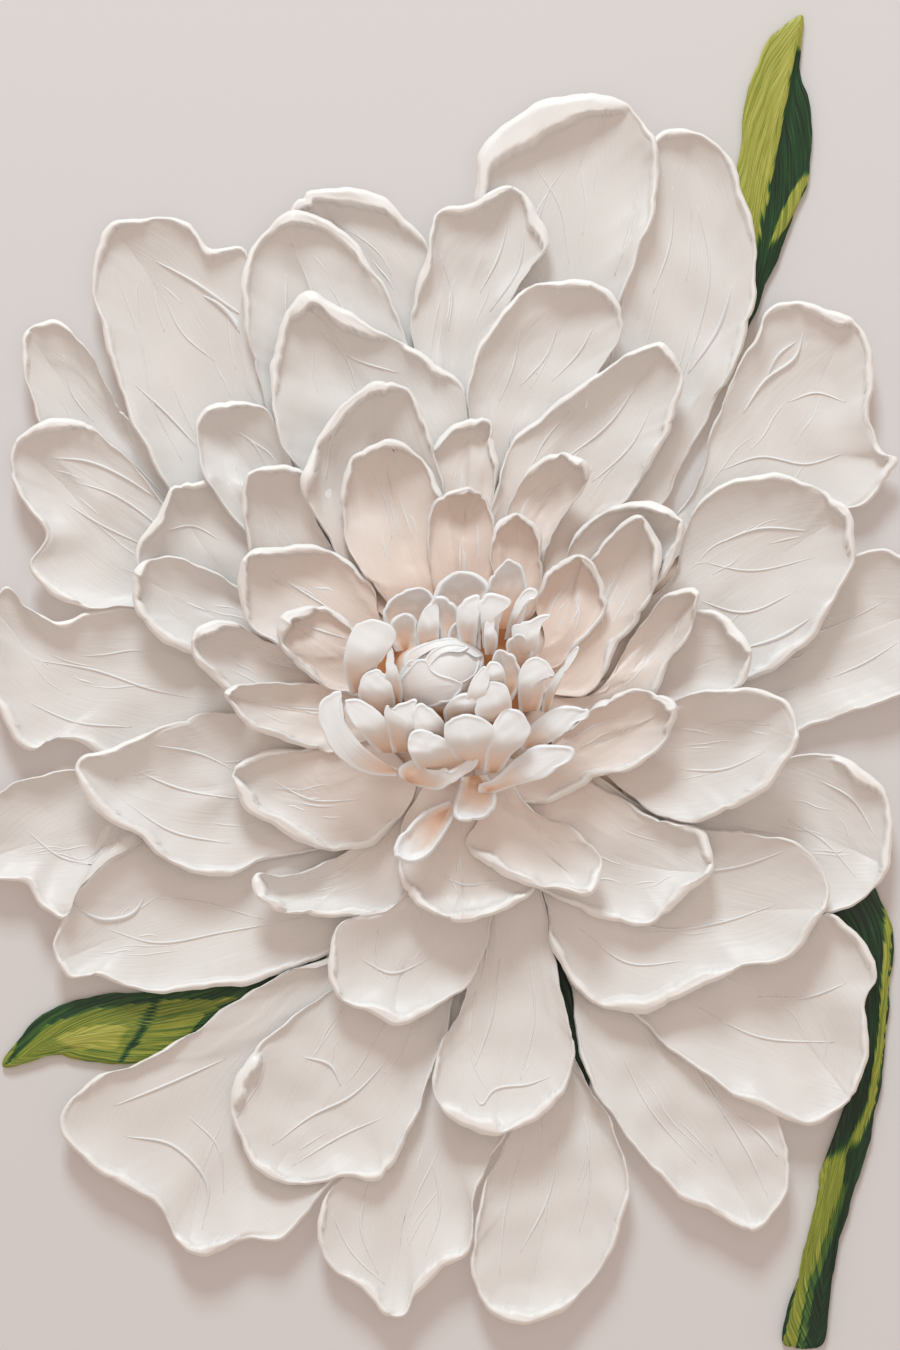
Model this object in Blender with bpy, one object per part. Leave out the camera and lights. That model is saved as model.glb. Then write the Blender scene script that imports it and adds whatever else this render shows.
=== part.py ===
# Giant relief flower for a wall: dished petals stacked in three rings on a turned core,
# with a crown of small curled petals at its centre, two leaves, a sepal and a stem.
# Metres, +Z up. The back lies on the wall plane y = 0 and the flower faces -Y.

import math

import bmesh
import bpy
import numpy as np

# The outlines are points (across, down) on a drawing of 900 units across.
DRAWING_UNITS = 900
DRAWING_WIDTH = 0.600
FLOWER_CENTRE = (465, 690)
DRAWING_LOWEST = (-80, 1400)
DRAWING_HIGHEST = (1000, -50)

# Core: a flat backing disc with a low dome, turned as one piece.
BACKING_RADIUS = 0.180
BACKING_THICKNESS = 0.006
DOME_RADIUS = 0.130
DOME_HEIGHT = 0.022
CORE_SEGMENTS = 36
DOME_STEPS = 5

# Petals: sheet, thick rolled lip, and how far each ring's tips stand off the wall.
PETAL_THICKNESS = 0.0028
ROOT_THICKNESS = 0.0014
LIP_HEIGHT = 0.0032
LIP_WIDTH = 0.0065
EDGE_THICKNESS = 0.0024
OUTER_LIFT = 0.004
MIDDLE_LIFT = 0.018
INNER_LIFT = 0.038
OUTER_CUP = 0.013
MIDDLE_CUP = 0.014
INNER_CUP = 0.012
CUP_POWER = 3
RISE_START = 0.15
RISE_SPAN = 0.5

# Where each ring's roots end, as a lap over the backing disc or a radius on the dome.
OUTER_ROOT_LAP = 0.022
MIDDLE_ROOT_RADIUS = 0.092
INNER_ROOT_RADIUS = 0.044
ROOT_NARROWING = 0.06

# Crown of small curled petals at the centre, fused to one piece.
CROWN_THICKNESS = 0.005
CROWN_BASE = 0.044
CROWN_RISE = 0.020
CURL_ROUNDNESS = 0.45
CROWN_RADII = (0.071, 0.078)
CROWN_CENTRE = (452, 685)
CROWN_GRID = 18

# Greens lie flat on the wall and butt against the edge of the backing disc.
LEAF_THICKNESS = 0.003
LEAF_RIDGE = 0.0018
STEM_THICKNESS = 0.004
STEM_RIDGE = 0.0022

SEAT_GAP = 0.0003
RASTER_STEP = 0.0015
RASTER_MARGIN = 0.0003
DRAPE_PASSES = 26
DRAPE_RELAXATION = 0.35

# Stations along each side of a petal, and the share of its length that the spine covers.
LARGE_STATIONS = 7
MEDIUM_STATIONS = 5
SMALL_STATIONS = 5
STEM_STATIONS = 10
TIP_CROWDING = 1.3
SPINE_SHARE = 0.70
MIDDLE_OF_RINGS = 0.55

# Each outline runs from one side of the root, round the tip, to the other side.
# The pieces of a ring are listed from the back to the front.
OUTER_PETALS = (
    ((800, 560), (850, 556), (893, 550), (928, 585), (938, 635), (915, 684), (870, 707),
     (828, 719), (790, 738)),
    ((640, 300), (652, 200), (656, 135), (690, 128), (722, 145), (744, 190), (757, 248),
     (756, 290), (744, 345), (716, 402), (690, 440)),
    ((300, 250), (288, 212), (310, 191), (345, 186), (385, 198), (413, 226), (428, 256),
     (414, 300), (410, 345)),
    ((42, 430), (26, 385), (27, 327), (50, 320), (78, 338), (98, 388), (125, 445)),
    ((160, 862), (100, 878), (64, 912), (54, 950), (66, 978), (100, 977), (142, 993),
     (190, 990), (245, 985), (330, 952), (395, 910)),
    ((140, 765), (60, 773), (5, 788), (-24, 828), (-12, 876), (28, 887), (40, 905),
     (62, 920), (78, 888), (120, 855)),
    ((200, 640), (140, 609), (75, 611), (28, 627), (0, 652), (-8, 690), (6, 728), (32, 751),
     (55, 738), (80, 742), (102, 757), (170, 735)),
    ((576, 1010), (582, 1060), (605, 1105), (650, 1165), (675, 1193), (715, 1215),
     (755, 1232), (779, 1213), (790, 1165), (780, 1125), (740, 1080)),
    ((525, 1110), (490, 1178), (474, 1245), (480, 1300), (500, 1320), (530, 1326),
     (580, 1298), (614, 1248), (629, 1180), (612, 1127), (582, 1075)),
    ((335, 962), (285, 975), (235, 1003), (190, 1036), (130, 1068), (85, 1086), (59, 1128),
     (75, 1155), (112, 1182), (166, 1218), (175, 1245), (202, 1257), (240, 1243),
     (280, 1240), (322, 1192), (370, 1130)),
    ((400, 1120), (350, 1170), (318, 1222), (322, 1255), (340, 1277), (372, 1300),
     (385, 1317), (405, 1318), (416, 1297), (440, 1272), (467, 1256), (473, 1210),
     (487, 1165), (507, 1135)),
    ((730, 800), (775, 763), (835, 757), (868, 772), (889, 800), (894, 842), (876, 890),
     (828, 913), (780, 900)),
    ((500, 300), (476, 205), (484, 145), (520, 112), (575, 92), (628, 103), (656, 145),
     (656, 200), (640, 248), (620, 300)),
    ((690, 500), (722, 408), (752, 345), (780, 303), (808, 301), (836, 312), (860, 322),
     (875, 372), (872, 425), (884, 450), (899, 456), (884, 482), (858, 508), (810, 490)),
    ((172, 492), (132, 420), (108, 350), (92, 268), (104, 228), (145, 216), (186, 222),
     (207, 245), (243, 249), (243, 300), (262, 380), (280, 440)),
    ((168, 508), (122, 455), (88, 426), (52, 418), (18, 438), (8, 470), (24, 503),
     (44, 532), (30, 566), (50, 594), (85, 606), (140, 607)),
    ((680, 945), (740, 958), (795, 946), (830, 916), (858, 935), (877, 982), (866, 1006),
     (870, 1055), (852, 1098), (820, 1125), (770, 1112), (705, 1075), (640, 1020)),
    ((340, 985), (278, 1030), (232, 1092), (236, 1132), (270, 1180), (295, 1187),
     (340, 1178), (378, 1181), (400, 1152), (425, 1092), (450, 1020)),
    ((278, 430), (250, 345), (243, 275), (262, 232), (300, 210), (338, 227), (374, 270),
     (400, 322), (414, 362)),
    ((416, 355), (411, 312), (427, 255), (437, 212), (465, 204), (515, 186), (538, 212),
     (548, 240), (525, 275), (495, 325), (470, 378)),
)
MIDDLE_PETALS = (
    ((262, 712), (190, 718), (130, 742), (78, 766), (90, 804), (132, 832), (165, 858),
     (212, 877), (265, 860), (325, 845)),
    ((330, 862), (280, 876), (258, 874), (256, 892), (270, 908), (310, 914), (365, 917),
     (410, 902)),
    ((470, 925), (463, 1005), (434, 1068), (440, 1105), (465, 1127), (505, 1132),
     (545, 1112), (573, 1068), (570, 1030), (556, 970), (545, 905)),
    ((385, 912), (347, 920), (330, 950), (338, 995), (368, 1012), (400, 1023), (440, 1004),
     (474, 975), (490, 920)),
    ((680, 565), (690, 518), (722, 486), (768, 475), (815, 487), (848, 513), (855, 548),
     (836, 597), (805, 645), (775, 668), (735, 683), (690, 692)),
    ((546, 900), (556, 955), (590, 1000), (635, 1014), (685, 995), (740, 968), (788, 957),
     (815, 925), (828, 885), (805, 850), (760, 835), (700, 830)),
    ((150, 600), (137, 560), (143, 535), (163, 510), (174, 487), (196, 483), (220, 476),
     (243, 492), (245, 540), (255, 590)),
    ((214, 490), (197, 448), (203, 413), (240, 401), (266, 412), (286, 450), (302, 490)),
    ((305, 480), (278, 430), (272, 385), (282, 325), (308, 292), (345, 312), (388, 336),
     (425, 357), (457, 380), (470, 430)),
    ((472, 430), (468, 385), (490, 330), (530, 288), (575, 281), (610, 293), (623, 316),
     (612, 350), (570, 410)),
    ((437, 505), (431, 452), (458, 424), (488, 422), (496, 460), (492, 515)),
    ((250, 592), (202, 568), (165, 556), (140, 568), (133, 600), (152, 630), (190, 656),
     (225, 668), (265, 655)),
    ((335, 745), (272, 752), (234, 770), (240, 798), (285, 832), (330, 850), (375, 841),
     (402, 815), (415, 790)),
    ((498, 485), (512, 445), (560, 402), (618, 362), (660, 343), (681, 375), (668, 430),
     (642, 478), (608, 520)),
    ((525, 880), (570, 903), (620, 923), (652, 922), (685, 895), (713, 862), (705, 835),
     (660, 820), (620, 800)),
)
INNER_PETALS = (
    ((625, 676), (672, 655), (697, 612), (725, 618), (747, 655), (744, 680), (715, 696),
     (672, 712), (625, 722)),
    ((640, 735), (675, 701), (735, 689), (788, 706), (794, 730), (776, 775), (735, 806),
     (695, 820), (655, 814), (632, 795)),
    ((400, 850), (405, 885), (425, 908), (460, 918), (505, 908), (533, 886), (505, 850)),
    ((258, 565), (244, 510), (250, 478), (278, 466), (303, 475), (315, 515), (340, 565)),
    ((305, 655), (262, 638), (228, 622), (195, 633), (197, 655), (216, 680), (245, 700),
     (312, 692)),
    ((335, 688), (270, 683), (228, 694), (238, 714), (280, 738), (340, 750)),
    ((322, 512), (303, 478), (318, 445), (345, 405), (378, 386), (405, 388), (422, 418),
     (435, 455), (445, 505)),
    ((505, 525), (520, 482), (560, 455), (587, 466), (580, 492), (555, 530), (542, 560)),
    ((560, 610), (568, 550), (600, 514), (645, 504), (680, 520), (674, 555), (640, 605),
     (600, 640)),
    ((598, 694), (630, 642), (665, 598), (695, 589), (692, 622), (666, 667), (634, 724)),
    ((388, 630), (366, 577), (330, 552), (285, 547), (248, 558), (240, 590), (252, 624),
     (285, 648), (345, 655)),
    ((352, 552), (343, 492), (354, 459), (388, 443), (422, 460), (440, 495), (450, 550)),
    ((435, 585), (430, 520), (443, 496), (478, 493), (491, 515), (492, 585)),
    ((497, 600), (490, 555), (500, 524), (517, 514), (535, 528), (541, 560), (540, 600)),
    ((565, 640), (590, 560), (643, 519), (658, 550), (652, 592), (620, 642), (582, 695)),
    ((515, 775), (562, 735), (605, 700), (645, 690), (672, 706), (668, 735), (635, 765),
     (590, 780), (540, 803), (505, 797)),
    ((478, 815), (468, 842), (500, 872), (545, 886), (592, 889), (600, 858), (575, 832),
     (530, 808)),
    ((370, 655), (348, 622), (315, 607), (287, 614), (281, 640), (300, 667), (325, 684),
     (360, 697)),
    ((540, 655), (538, 600), (552, 567), (578, 558), (601, 580), (604, 610), (585, 636),
     (558, 665)),
)
UPPER_LEAF = (
    (650, 462), (718, 368), (752, 305), (757, 262), (742, 225), (743, 150), (752, 85),
     (775, 32), (805, 9), (803, 60), (812, 95), (813, 165), (790, 230), (762, 300), (726, 376),
     (662, 470),
)
LEFT_LEAF = (
    (290, 888), (250, 975), (160, 993), (100, 999), (50, 1012), (0, 1071), (50, 1060),
     (110, 1068), (180, 1060), (250, 1040), (310, 985), (322, 900),
)
LOWER_SEPAL = (
    (533, 965), (555, 1010), (568, 1060), (588, 1094), (596, 1060), (594, 1010), (585, 960),
)
STEM = (
    (680, 842), (760, 890), (822, 925), (858, 985), (866, 1050), (852, 1115), (828, 1170),
     (815, 1230), (800, 1290), (790, 1352), (822, 1352), (835, 1290), (848, 1230),
     (870, 1160), (884, 1095), (893, 1000), (894, 925), (870, 880), (790, 838), (712, 796),
)
# Small curled petals of the crown: centre across, centre down, half length, half width,
# turn in degrees from upright, and how far its top stands off the wall.
CROWN_CURLS = (
    (439, 672, 34, 42, 0, 0.085),
    (371, 656, 37, 25, 10, 0.077),
    (379, 692, 24, 18, 0, 0.072),
    (352, 736, 54, 15, -38, 0.067),
    (373, 724, 36, 22, -30, 0.073),
    (402, 726, 28, 18, 0, 0.075),
    (430, 728, 26, 18, -15, 0.076),
    (438, 751, 23, 30, 0, 0.076),
    (469, 741, 28, 25, 0, 0.078),
    (505, 739, 36, 22, 15, 0.075),
    (439, 772, 16, 39, 0, 0.064),
    (493, 701, 24, 18, 0, 0.080),
    (476, 693, 26, 13, 10, 0.081),
    (461, 707, 15, 18, 0, 0.079),
    (531, 685, 29, 18, 0, 0.076),
    (508, 668, 27, 14, 0, 0.080),
    (527, 642, 26, 23, 0, 0.077),
    (461, 602, 34, 29, 0, 0.071),
    (506, 598, 36, 22, 5, 0.070),
    (408, 622, 33, 27, -10, 0.069),
    (429, 626, 25, 12, 10, 0.075),
    (449, 622, 26, 14, -10, 0.076),
    (469, 622, 27, 14, 0, 0.077),
    (490, 622, 30, 14, 0, 0.078),
    (524, 610, 30, 11, 20, 0.073),
    (553, 728, 37, 14, 62, 0.061),
    (525, 768, 51, 16, 64, 0.061),
    (560, 682, 36, 10, 30, 0.064),
)

# Colours: off-white paste, peach at the centre, and the greens.
PETAL_COLOUR = (0.79, 0.76, 0.73)
INNER_COLOUR = (0.80, 0.69, 0.59)
CROWN_COLOUR = (0.82, 0.66, 0.52)
CORE_COLOUR = (0.60, 0.50, 0.42)
LEAF_COLOUR = (0.33, 0.36, 0.06)
SEPAL_COLOUR = (0.01, 0.035, 0.015)
STEM_COLOUR = (0.06, 0.12, 0.03)
PASTE_ROUGHNESS = 0.55
PAINT_ROUGHNESS = 0.40


class Relief:
    """Height of everything laid so far, on a fine raster over the wall."""

    def __init__(self):
        self.left, self.bottom = on_wall(DRAWING_LOWEST)
        right, above = on_wall(DRAWING_HIGHEST)
        self.columns = int((right - self.left) / RASTER_STEP)
        self.rows = int((above - self.bottom) / RASTER_STEP)
        self.heights = np.zeros((self.rows, self.columns))

    def cover(self, points, faces):
        """The raster cells under each face, with their weights for its three corners."""
        cells = []
        owners = []
        weights = []
        grid = (points[:, :2] - (self.left, self.bottom)) / RASTER_STEP
        for index, face in enumerate(faces):
            corners = grid[list(face)]
            low = np.floor(corners.min(axis=0)).astype(int)
            high = np.ceil(corners.max(axis=0)).astype(int)
            across, up = np.meshgrid(np.arange(low[0], high[0] + 1), np.arange(low[1], high[1] + 1))
            spot = np.stack([across.ravel(), up.ravel()], axis=1)
            edges = (corners[1:] - corners[0]).T
            area = edges[0, 0] * edges[1, 1] - edges[0, 1] * edges[1, 0]
            if abs(area) < 1e-9:
                continue
            offset = spot - corners[0]
            second = (offset[:, 0] * edges[1, 1] - offset[:, 1] * edges[0, 1]) / area
            third = (edges[0, 0] * offset[:, 1] - edges[1, 0] * offset[:, 0]) / area
            share = np.stack([1 - second - third, second, third], axis=1)
            inside = share.min(axis=1) > -0.02
            cells.append(spot[inside])
            weights.append(share[inside])
            owners.append(np.full(inside.sum(), index))
        return np.vstack(cells), np.concatenate(owners), np.vstack(weights)

    def nearest(self, points):
        return np.round((points[:, :2] - (self.left, self.bottom)) / RASTER_STEP).astype(int)

    def spread(self):
        """The heights with each cell raised to its highest neighbour."""
        padded = np.pad(self.heights, 1, mode="edge")
        result = self.heights.copy()
        for row in range(3):
            for column in range(3):
                part = padded[row : row + self.rows, column : column + self.columns]
                np.maximum(result, part, out=result)
        return result

    def drape(self, points, faces, heights):
        """The lowest heights, from the given ones up, that clear what is laid already."""
        cells, owners, weights = self.cover(points, faces)
        need = self.spread()[cells[:, 1], cells[:, 0]] + SEAT_GAP + RASTER_MARGIN
        corners = np.array(faces)[owners]
        pull = weights.clip(0) / (weights.clip(0) ** 2).sum(axis=1)[:, None]
        near = self.nearest(points)
        heights = np.maximum(heights, self.spread()[near[:, 1], near[:, 0]] + SEAT_GAP + RASTER_MARGIN)
        for step in range(DRAPE_PASSES):
            short = (need - (weights * heights[corners]).sum(axis=1)).clip(0)
            share = 1.0 if step == DRAPE_PASSES - 1 else DRAPE_RELAXATION
            rise = np.zeros(len(heights))
            np.maximum.at(rise, corners, short[:, None] * pull * share)
            heights += rise
        return heights

    def lay(self, points, faces, heights):
        """Adds a piece's top to the raster."""
        cells, owners, weights = self.cover(points, faces)
        corners = np.array(faces)[owners]
        tops = (weights * heights[corners]).sum(axis=1)
        np.maximum.at(self.heights, (cells[:, 1], cells[:, 0]), tops)
        near = self.nearest(points)
        np.maximum.at(self.heights, (near[:, 1], near[:, 0]), heights)


def on_wall(point):
    """A point of the drawing as metres across and up from the flower's centre."""
    unit = DRAWING_WIDTH / DRAWING_UNITS
    return (point[0] - FLOWER_CENTRE[0]) * unit, (FLOWER_CENTRE[1] - point[1]) * unit


def smooth_curve(points, steps=10):
    """A smooth line through the points, with no overshoot at uneven spacing."""
    spots = np.array(points, float)
    gaps = np.linalg.norm(np.diff(spots, axis=0), axis=1)
    slopes = np.diff(spots, axis=0) / gaps[:, None]
    tangents = np.empty_like(spots)
    tangents[0] = slopes[0]
    tangents[-1] = slopes[-1]
    before = gaps[:-1, None]
    after = gaps[1:, None]
    tangents[1:-1] = (slopes[:-1] * after + slopes[1:] * before) / (before + after)
    line = []
    for index, gap in enumerate(gaps):
        for step in range(steps):
            t = step / steps
            line.append(
                (2 * t**3 - 3 * t**2 + 1) * spots[index]
                + (t**3 - 2 * t**2 + t) * gap * tangents[index]
                + (3 * t**2 - 2 * t**3) * spots[index + 1]
                + (t**3 - t**2) * gap * tangents[index + 1]
            )
    line.append(spots[-1])
    return np.array(line)


def stations_on(line, count):
    """The line from root to tip as count + 1 points, closer together near the tip."""
    run = np.concatenate([[0], np.cumsum(np.linalg.norm(np.diff(line, axis=0), axis=1))])
    wanted = run[-1] * (1 - (1 - np.linspace(0, 1, count + 1)) ** TIP_CROWDING)
    return np.stack([np.interp(wanted, run, line[:, axis]) for axis in (0, 1)], axis=1)


def rooted(outline, radius, outside=False):
    """The outline in metres, with its root drawn in to the given radius and narrowed.

    The root is a straight edge, so one that stays outside a disc of that radius has its
    ends a little further out."""
    points = [on_wall(point) for point in outline]
    while math.hypot(*points[0]) < radius and len(points) > 5:
        points.pop(0)
    while math.hypot(*points[-1]) < radius and len(points) > 5:
        points.pop()
    first = math.atan2(points[0][1], points[0][0])
    turn = math.remainder(math.atan2(points[-1][1], points[-1][0]) - first, math.tau)
    start = first + turn * ROOT_NARROWING
    end = first + turn * (1 - ROOT_NARROWING)
    if outside:
        radius /= math.cos((end - start) / 2)
    points.insert(0, (radius * math.cos(start), radius * math.sin(start)))
    points.append((radius * math.cos(end), radius * math.sin(end)))
    return points


class Sheet:
    """A piece's plan as a net of rings from its outline in to its spine."""

    def __init__(self, points, stations):
        line = smooth_curve(points)
        root = (line[0] + line[-1]) / 2
        tip = int(np.argmax(np.linalg.norm(line - root, axis=1)))
        left = stations_on(line[: tip + 1], stations)
        right = stations_on(line[tip:][::-1], stations)
        self.stations = stations
        self.plan = []
        self.along = []
        self.inward = []
        self.index = {}
        share = np.linspace(0, 1, stations + 1) * SPINE_SHARE
        grid = np.linspace(0, 1, stations + 1)
        spine = np.stack(
            [np.interp(share, grid, (left[:, axis] + right[:, axis]) / 2) for axis in (0, 1)],
            axis=1,
        )
        self.rim = 2 * stations
        for spot in range(self.rim + 1):
            station = min(spot, self.rim - spot)
            edge = left[station] if spot <= stations else right[station]
            self.add_spoke(spot, station, edge, spine[station])
        self.plan = np.array(self.plan)
        self.along = np.array(self.along)
        self.inward = np.array(self.inward)
        self.faces = self.make_faces()

    def add_spoke(self, spot, station, edge, middle):
        reach = float(np.linalg.norm(edge - middle))
        lip = min(LIP_WIDTH / max(reach, 1e-6), 0.3)
        for ring, inward in enumerate((0, lip, lip + (1 - lip) * MIDDLE_OF_RINGS, 1)):
            key = ("spine", station) if ring == 3 else (spot, ring)
            if key not in self.index:
                self.index[key] = len(self.plan)
                self.plan.append(edge + (middle - edge) * inward)
                share = station / self.stations
                self.along.append(share * (1 - inward * (1 - SPINE_SHARE)))
                self.inward.append(inward)
            self.index[(spot, ring)] = self.index[key]

    def make_faces(self):
        faces = []
        for spot in range(self.rim):
            for ring in range(3):
                a, b = self.index[(spot, ring)], self.index[(spot + 1, ring)]
                c, d = self.index[(spot + 1, ring + 1)], self.index[(spot, ring + 1)]
                corners = ((a, b, c), (a, c, d)) if spot < self.stations else ((a, b, d), (b, c, d))
                faces += [face for face in corners if len(set(face)) == 3]
        return faces

    def border(self):
        outline = [self.index[(spot, 0)] for spot in range(self.rim + 1)]
        root = [self.index[(self.rim, ring)] for ring in (1, 2, 3)]
        root += [self.index[(0, ring)] for ring in (2, 1)]
        return outline + root


def clay(name, colour, roughness):
    """A Principled material of one colour."""
    material = bpy.data.materials.new(name)
    material.use_nodes = True
    shader = material.node_tree.nodes["Principled BSDF"]
    shader.inputs["Base Color"].default_value = (*colour, 1)
    shader.inputs["Roughness"].default_value = roughness
    shader.inputs["Metallic"].default_value = 0
    return material


def add_object(name, mesh, material, holder):
    mesh.materials.append(material)
    piece = bpy.data.objects.new(name, mesh)
    piece.parent = holder
    bpy.context.scene.collection.objects.link(piece)
    mesh.shade_smooth()
    mesh.set_sharp_from_angle(angle=math.radians(50))


def close_sheet(name, plan, faces, border, bottom, top):
    """A closed mesh between two height fields over the same plan."""
    shape = bmesh.new()
    lower = [shape.verts.new((x, -low, z)) for (x, z), low in zip(plan, bottom)]
    upper = [shape.verts.new((x, -high, z)) for (x, z), high in zip(plan, top)]
    for a, b, c in faces:
        shape.faces.new((lower[a], lower[b], lower[c]))
        shape.faces.new((upper[a], upper[c], upper[b]))
    for a, b in zip(border, border[1:] + border[:1]):
        shape.faces.new((lower[a], upper[a], upper[b], lower[b]))
    bmesh.ops.triangulate(shape, faces=shape.faces)
    bmesh.ops.recalc_face_normals(shape, faces=shape.faces)
    mesh = bpy.data.meshes.new(name)
    shape.to_mesh(mesh)
    shape.free()
    return mesh


def make_core(relief, holder):
    """The backing disc with its dome, turned round the flower's axis."""
    profile = [(0, 0), (BACKING_RADIUS, 0), (BACKING_RADIUS, BACKING_THICKNESS)]
    for step in range(DOME_STEPS):
        angle = math.pi / 2 * step / DOME_STEPS
        rise = DOME_HEIGHT * math.sin(angle)
        profile.append((DOME_RADIUS * math.cos(angle), BACKING_THICKNESS + rise))
    profile.append((0, BACKING_THICKNESS + DOME_HEIGHT))
    shape = bmesh.new()
    spots = [shape.verts.new((radius, -height, 0)) for radius, height in profile]
    edges = [shape.edges.new(pair) for pair in zip(spots, spots[1:])]
    bmesh.ops.spin(
        shape,
        geom=spots + edges,
        cent=(0, 0, 0),
        axis=(0, 1, 0),
        angle=math.tau,
        steps=CORE_SEGMENTS,
        use_merge=True,
    )
    bmesh.ops.remove_doubles(shape, verts=shape.verts, dist=1e-6)
    bmesh.ops.triangulate(shape, faces=shape.faces)
    bmesh.ops.recalc_face_normals(shape, faces=shape.faces)
    shape.verts.ensure_lookup_table()
    plan = np.array([(vert.co.x, vert.co.z) for vert in shape.verts])
    heights = np.array([-vert.co.y for vert in shape.verts])
    front = [
        tuple(vert.index for vert in face.verts)
        for face in shape.faces
        if face.normal.y < -0.01
    ]
    relief.lay(plan, front, heights)
    mesh = bpy.data.meshes.new("backing_core")
    shape.to_mesh(mesh)
    shape.free()
    add_object("backing_core", mesh, clay("core_paste", CORE_COLOUR, PASTE_ROUGHNESS), holder)


def make_green(name, outline, stations, thickness, ridge, material, relief, holder):
    """A leaf, sepal or stem: flat on the wall, a little thicker along its middle."""
    sheet = Sheet(rooted(outline, BACKING_RADIUS + SEAT_GAP, outside=True), stations)
    bottom = np.zeros(len(sheet.plan))
    top = thickness + ridge * sheet.inward
    relief.lay(sheet.plan, sheet.faces, top)
    mesh = close_sheet(name, sheet.plan, sheet.faces, sheet.border(), bottom, top)
    add_object(name, mesh, material, holder)


def make_petal(name, outline, root_radius, lift, cup, stations, material, relief, holder):
    """A dished sheet with a thick lip, laid over everything placed before it."""
    sheet = Sheet(rooted(outline, root_radius), stations)
    risen = np.clip((sheet.along - RISE_START) / RISE_SPAN, 0, 1)
    shape = lift * sheet.along + cup * (1 - sheet.inward) ** CUP_POWER * risen
    bottom = relief.drape(sheet.plan, sheet.faces, shape)
    sheet_share = np.clip(sheet.along / 0.25, 0, 1)
    thickness = ROOT_THICKNESS + (PETAL_THICKNESS - ROOT_THICKNESS) * sheet_share
    on_lip = (sheet.inward > 0) & (sheet.inward <= 0.3)
    thickness = thickness + np.where(on_lip, LIP_HEIGHT * sheet_share, 0)
    thickness = np.where(sheet.inward == 0, np.minimum(thickness, EDGE_THICKNESS), thickness)
    top = bottom + thickness
    relief.lay(sheet.plan, sheet.faces, top)
    mesh = close_sheet(name, sheet.plan, sheet.faces, sheet.border(), bottom, top)
    add_object(name, mesh, material, holder)


def make_ring(ring, outlines, root_radius, lift, cup, stations, material, relief, holder):
    for number, outline in enumerate(outlines, start=1):
        name = f"{ring}_petal_{number:02d}"
        make_petal(name, outline, root_radius, lift, cup, stations, material, relief, holder)


def crown_relief(plan):
    """How far the crown's curled petals stand off the wall at each point of the plan."""
    unit = DRAWING_WIDTH / DRAWING_UNITS
    centre = np.array(on_wall(CROWN_CENTRE))
    radius = np.linalg.norm((plan - centre) / np.array(CROWN_RADII), axis=1)
    heights = CROWN_BASE + CROWN_RISE * np.sqrt(np.clip(1 - radius**2, 0, 1))
    for across, down, half_length, half_width, turn, top in CROWN_CURLS:
        offset = plan - np.array(on_wall((across, down)))
        angle = math.radians(turn)
        lengthwise = (offset[:, 0] * math.sin(angle) + offset[:, 1] * math.cos(angle)) / unit
        crosswise = (offset[:, 0] * math.cos(angle) - offset[:, 1] * math.sin(angle)) / unit
        reach = (lengthwise / half_length) ** 2 + (crosswise / half_width) ** 2
        curl = CROWN_BASE + (top - CROWN_BASE) * (1 - reach.clip(0, 1)) ** CURL_ROUNDNESS
        heights = np.where(reach < 1, np.maximum(heights, curl), heights)
    return heights


def make_crown(relief, holder):
    """The small petals of the centre with their core, as one piece on the inner roots."""
    centre = np.array(on_wall(CROWN_CENTRE))
    steps = np.linspace(-1, 1, CROWN_GRID + 1)
    plan = []
    for up in steps:
        for across in steps:
            disc = (across * math.sqrt(1 - up**2 / 2), up * math.sqrt(1 - across**2 / 2))
            plan.append(centre + np.array(disc) * CROWN_RADII)
    plan = np.array(plan)
    faces = []
    row = CROWN_GRID + 1
    for line in range(CROWN_GRID):
        for place in range(CROWN_GRID):
            a = line * row + place
            b, c, d = a + 1, a + row + 1, a + row
            same_side = (line < CROWN_GRID / 2) == (place < CROWN_GRID / 2)
            faces += ((a, b, c), (a, c, d)) if same_side else ((a, b, d), (b, c, d))
    last = row * CROWN_GRID
    border = list(range(CROWN_GRID)) + list(range(CROWN_GRID, row * row - 1, row))
    border += list(range(row * row - 1, last, -1)) + list(range(last, 0, -row))
    bottom = relief.drape(plan, faces, np.zeros(len(plan)))
    top = np.maximum(bottom + CROWN_THICKNESS, crown_relief(plan))
    mesh = close_sheet("crown", plan, faces, border, bottom, top)
    add_object("crown", mesh, clay("crown_paste", CROWN_COLOUR, PASTE_ROUGHNESS), holder)


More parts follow.
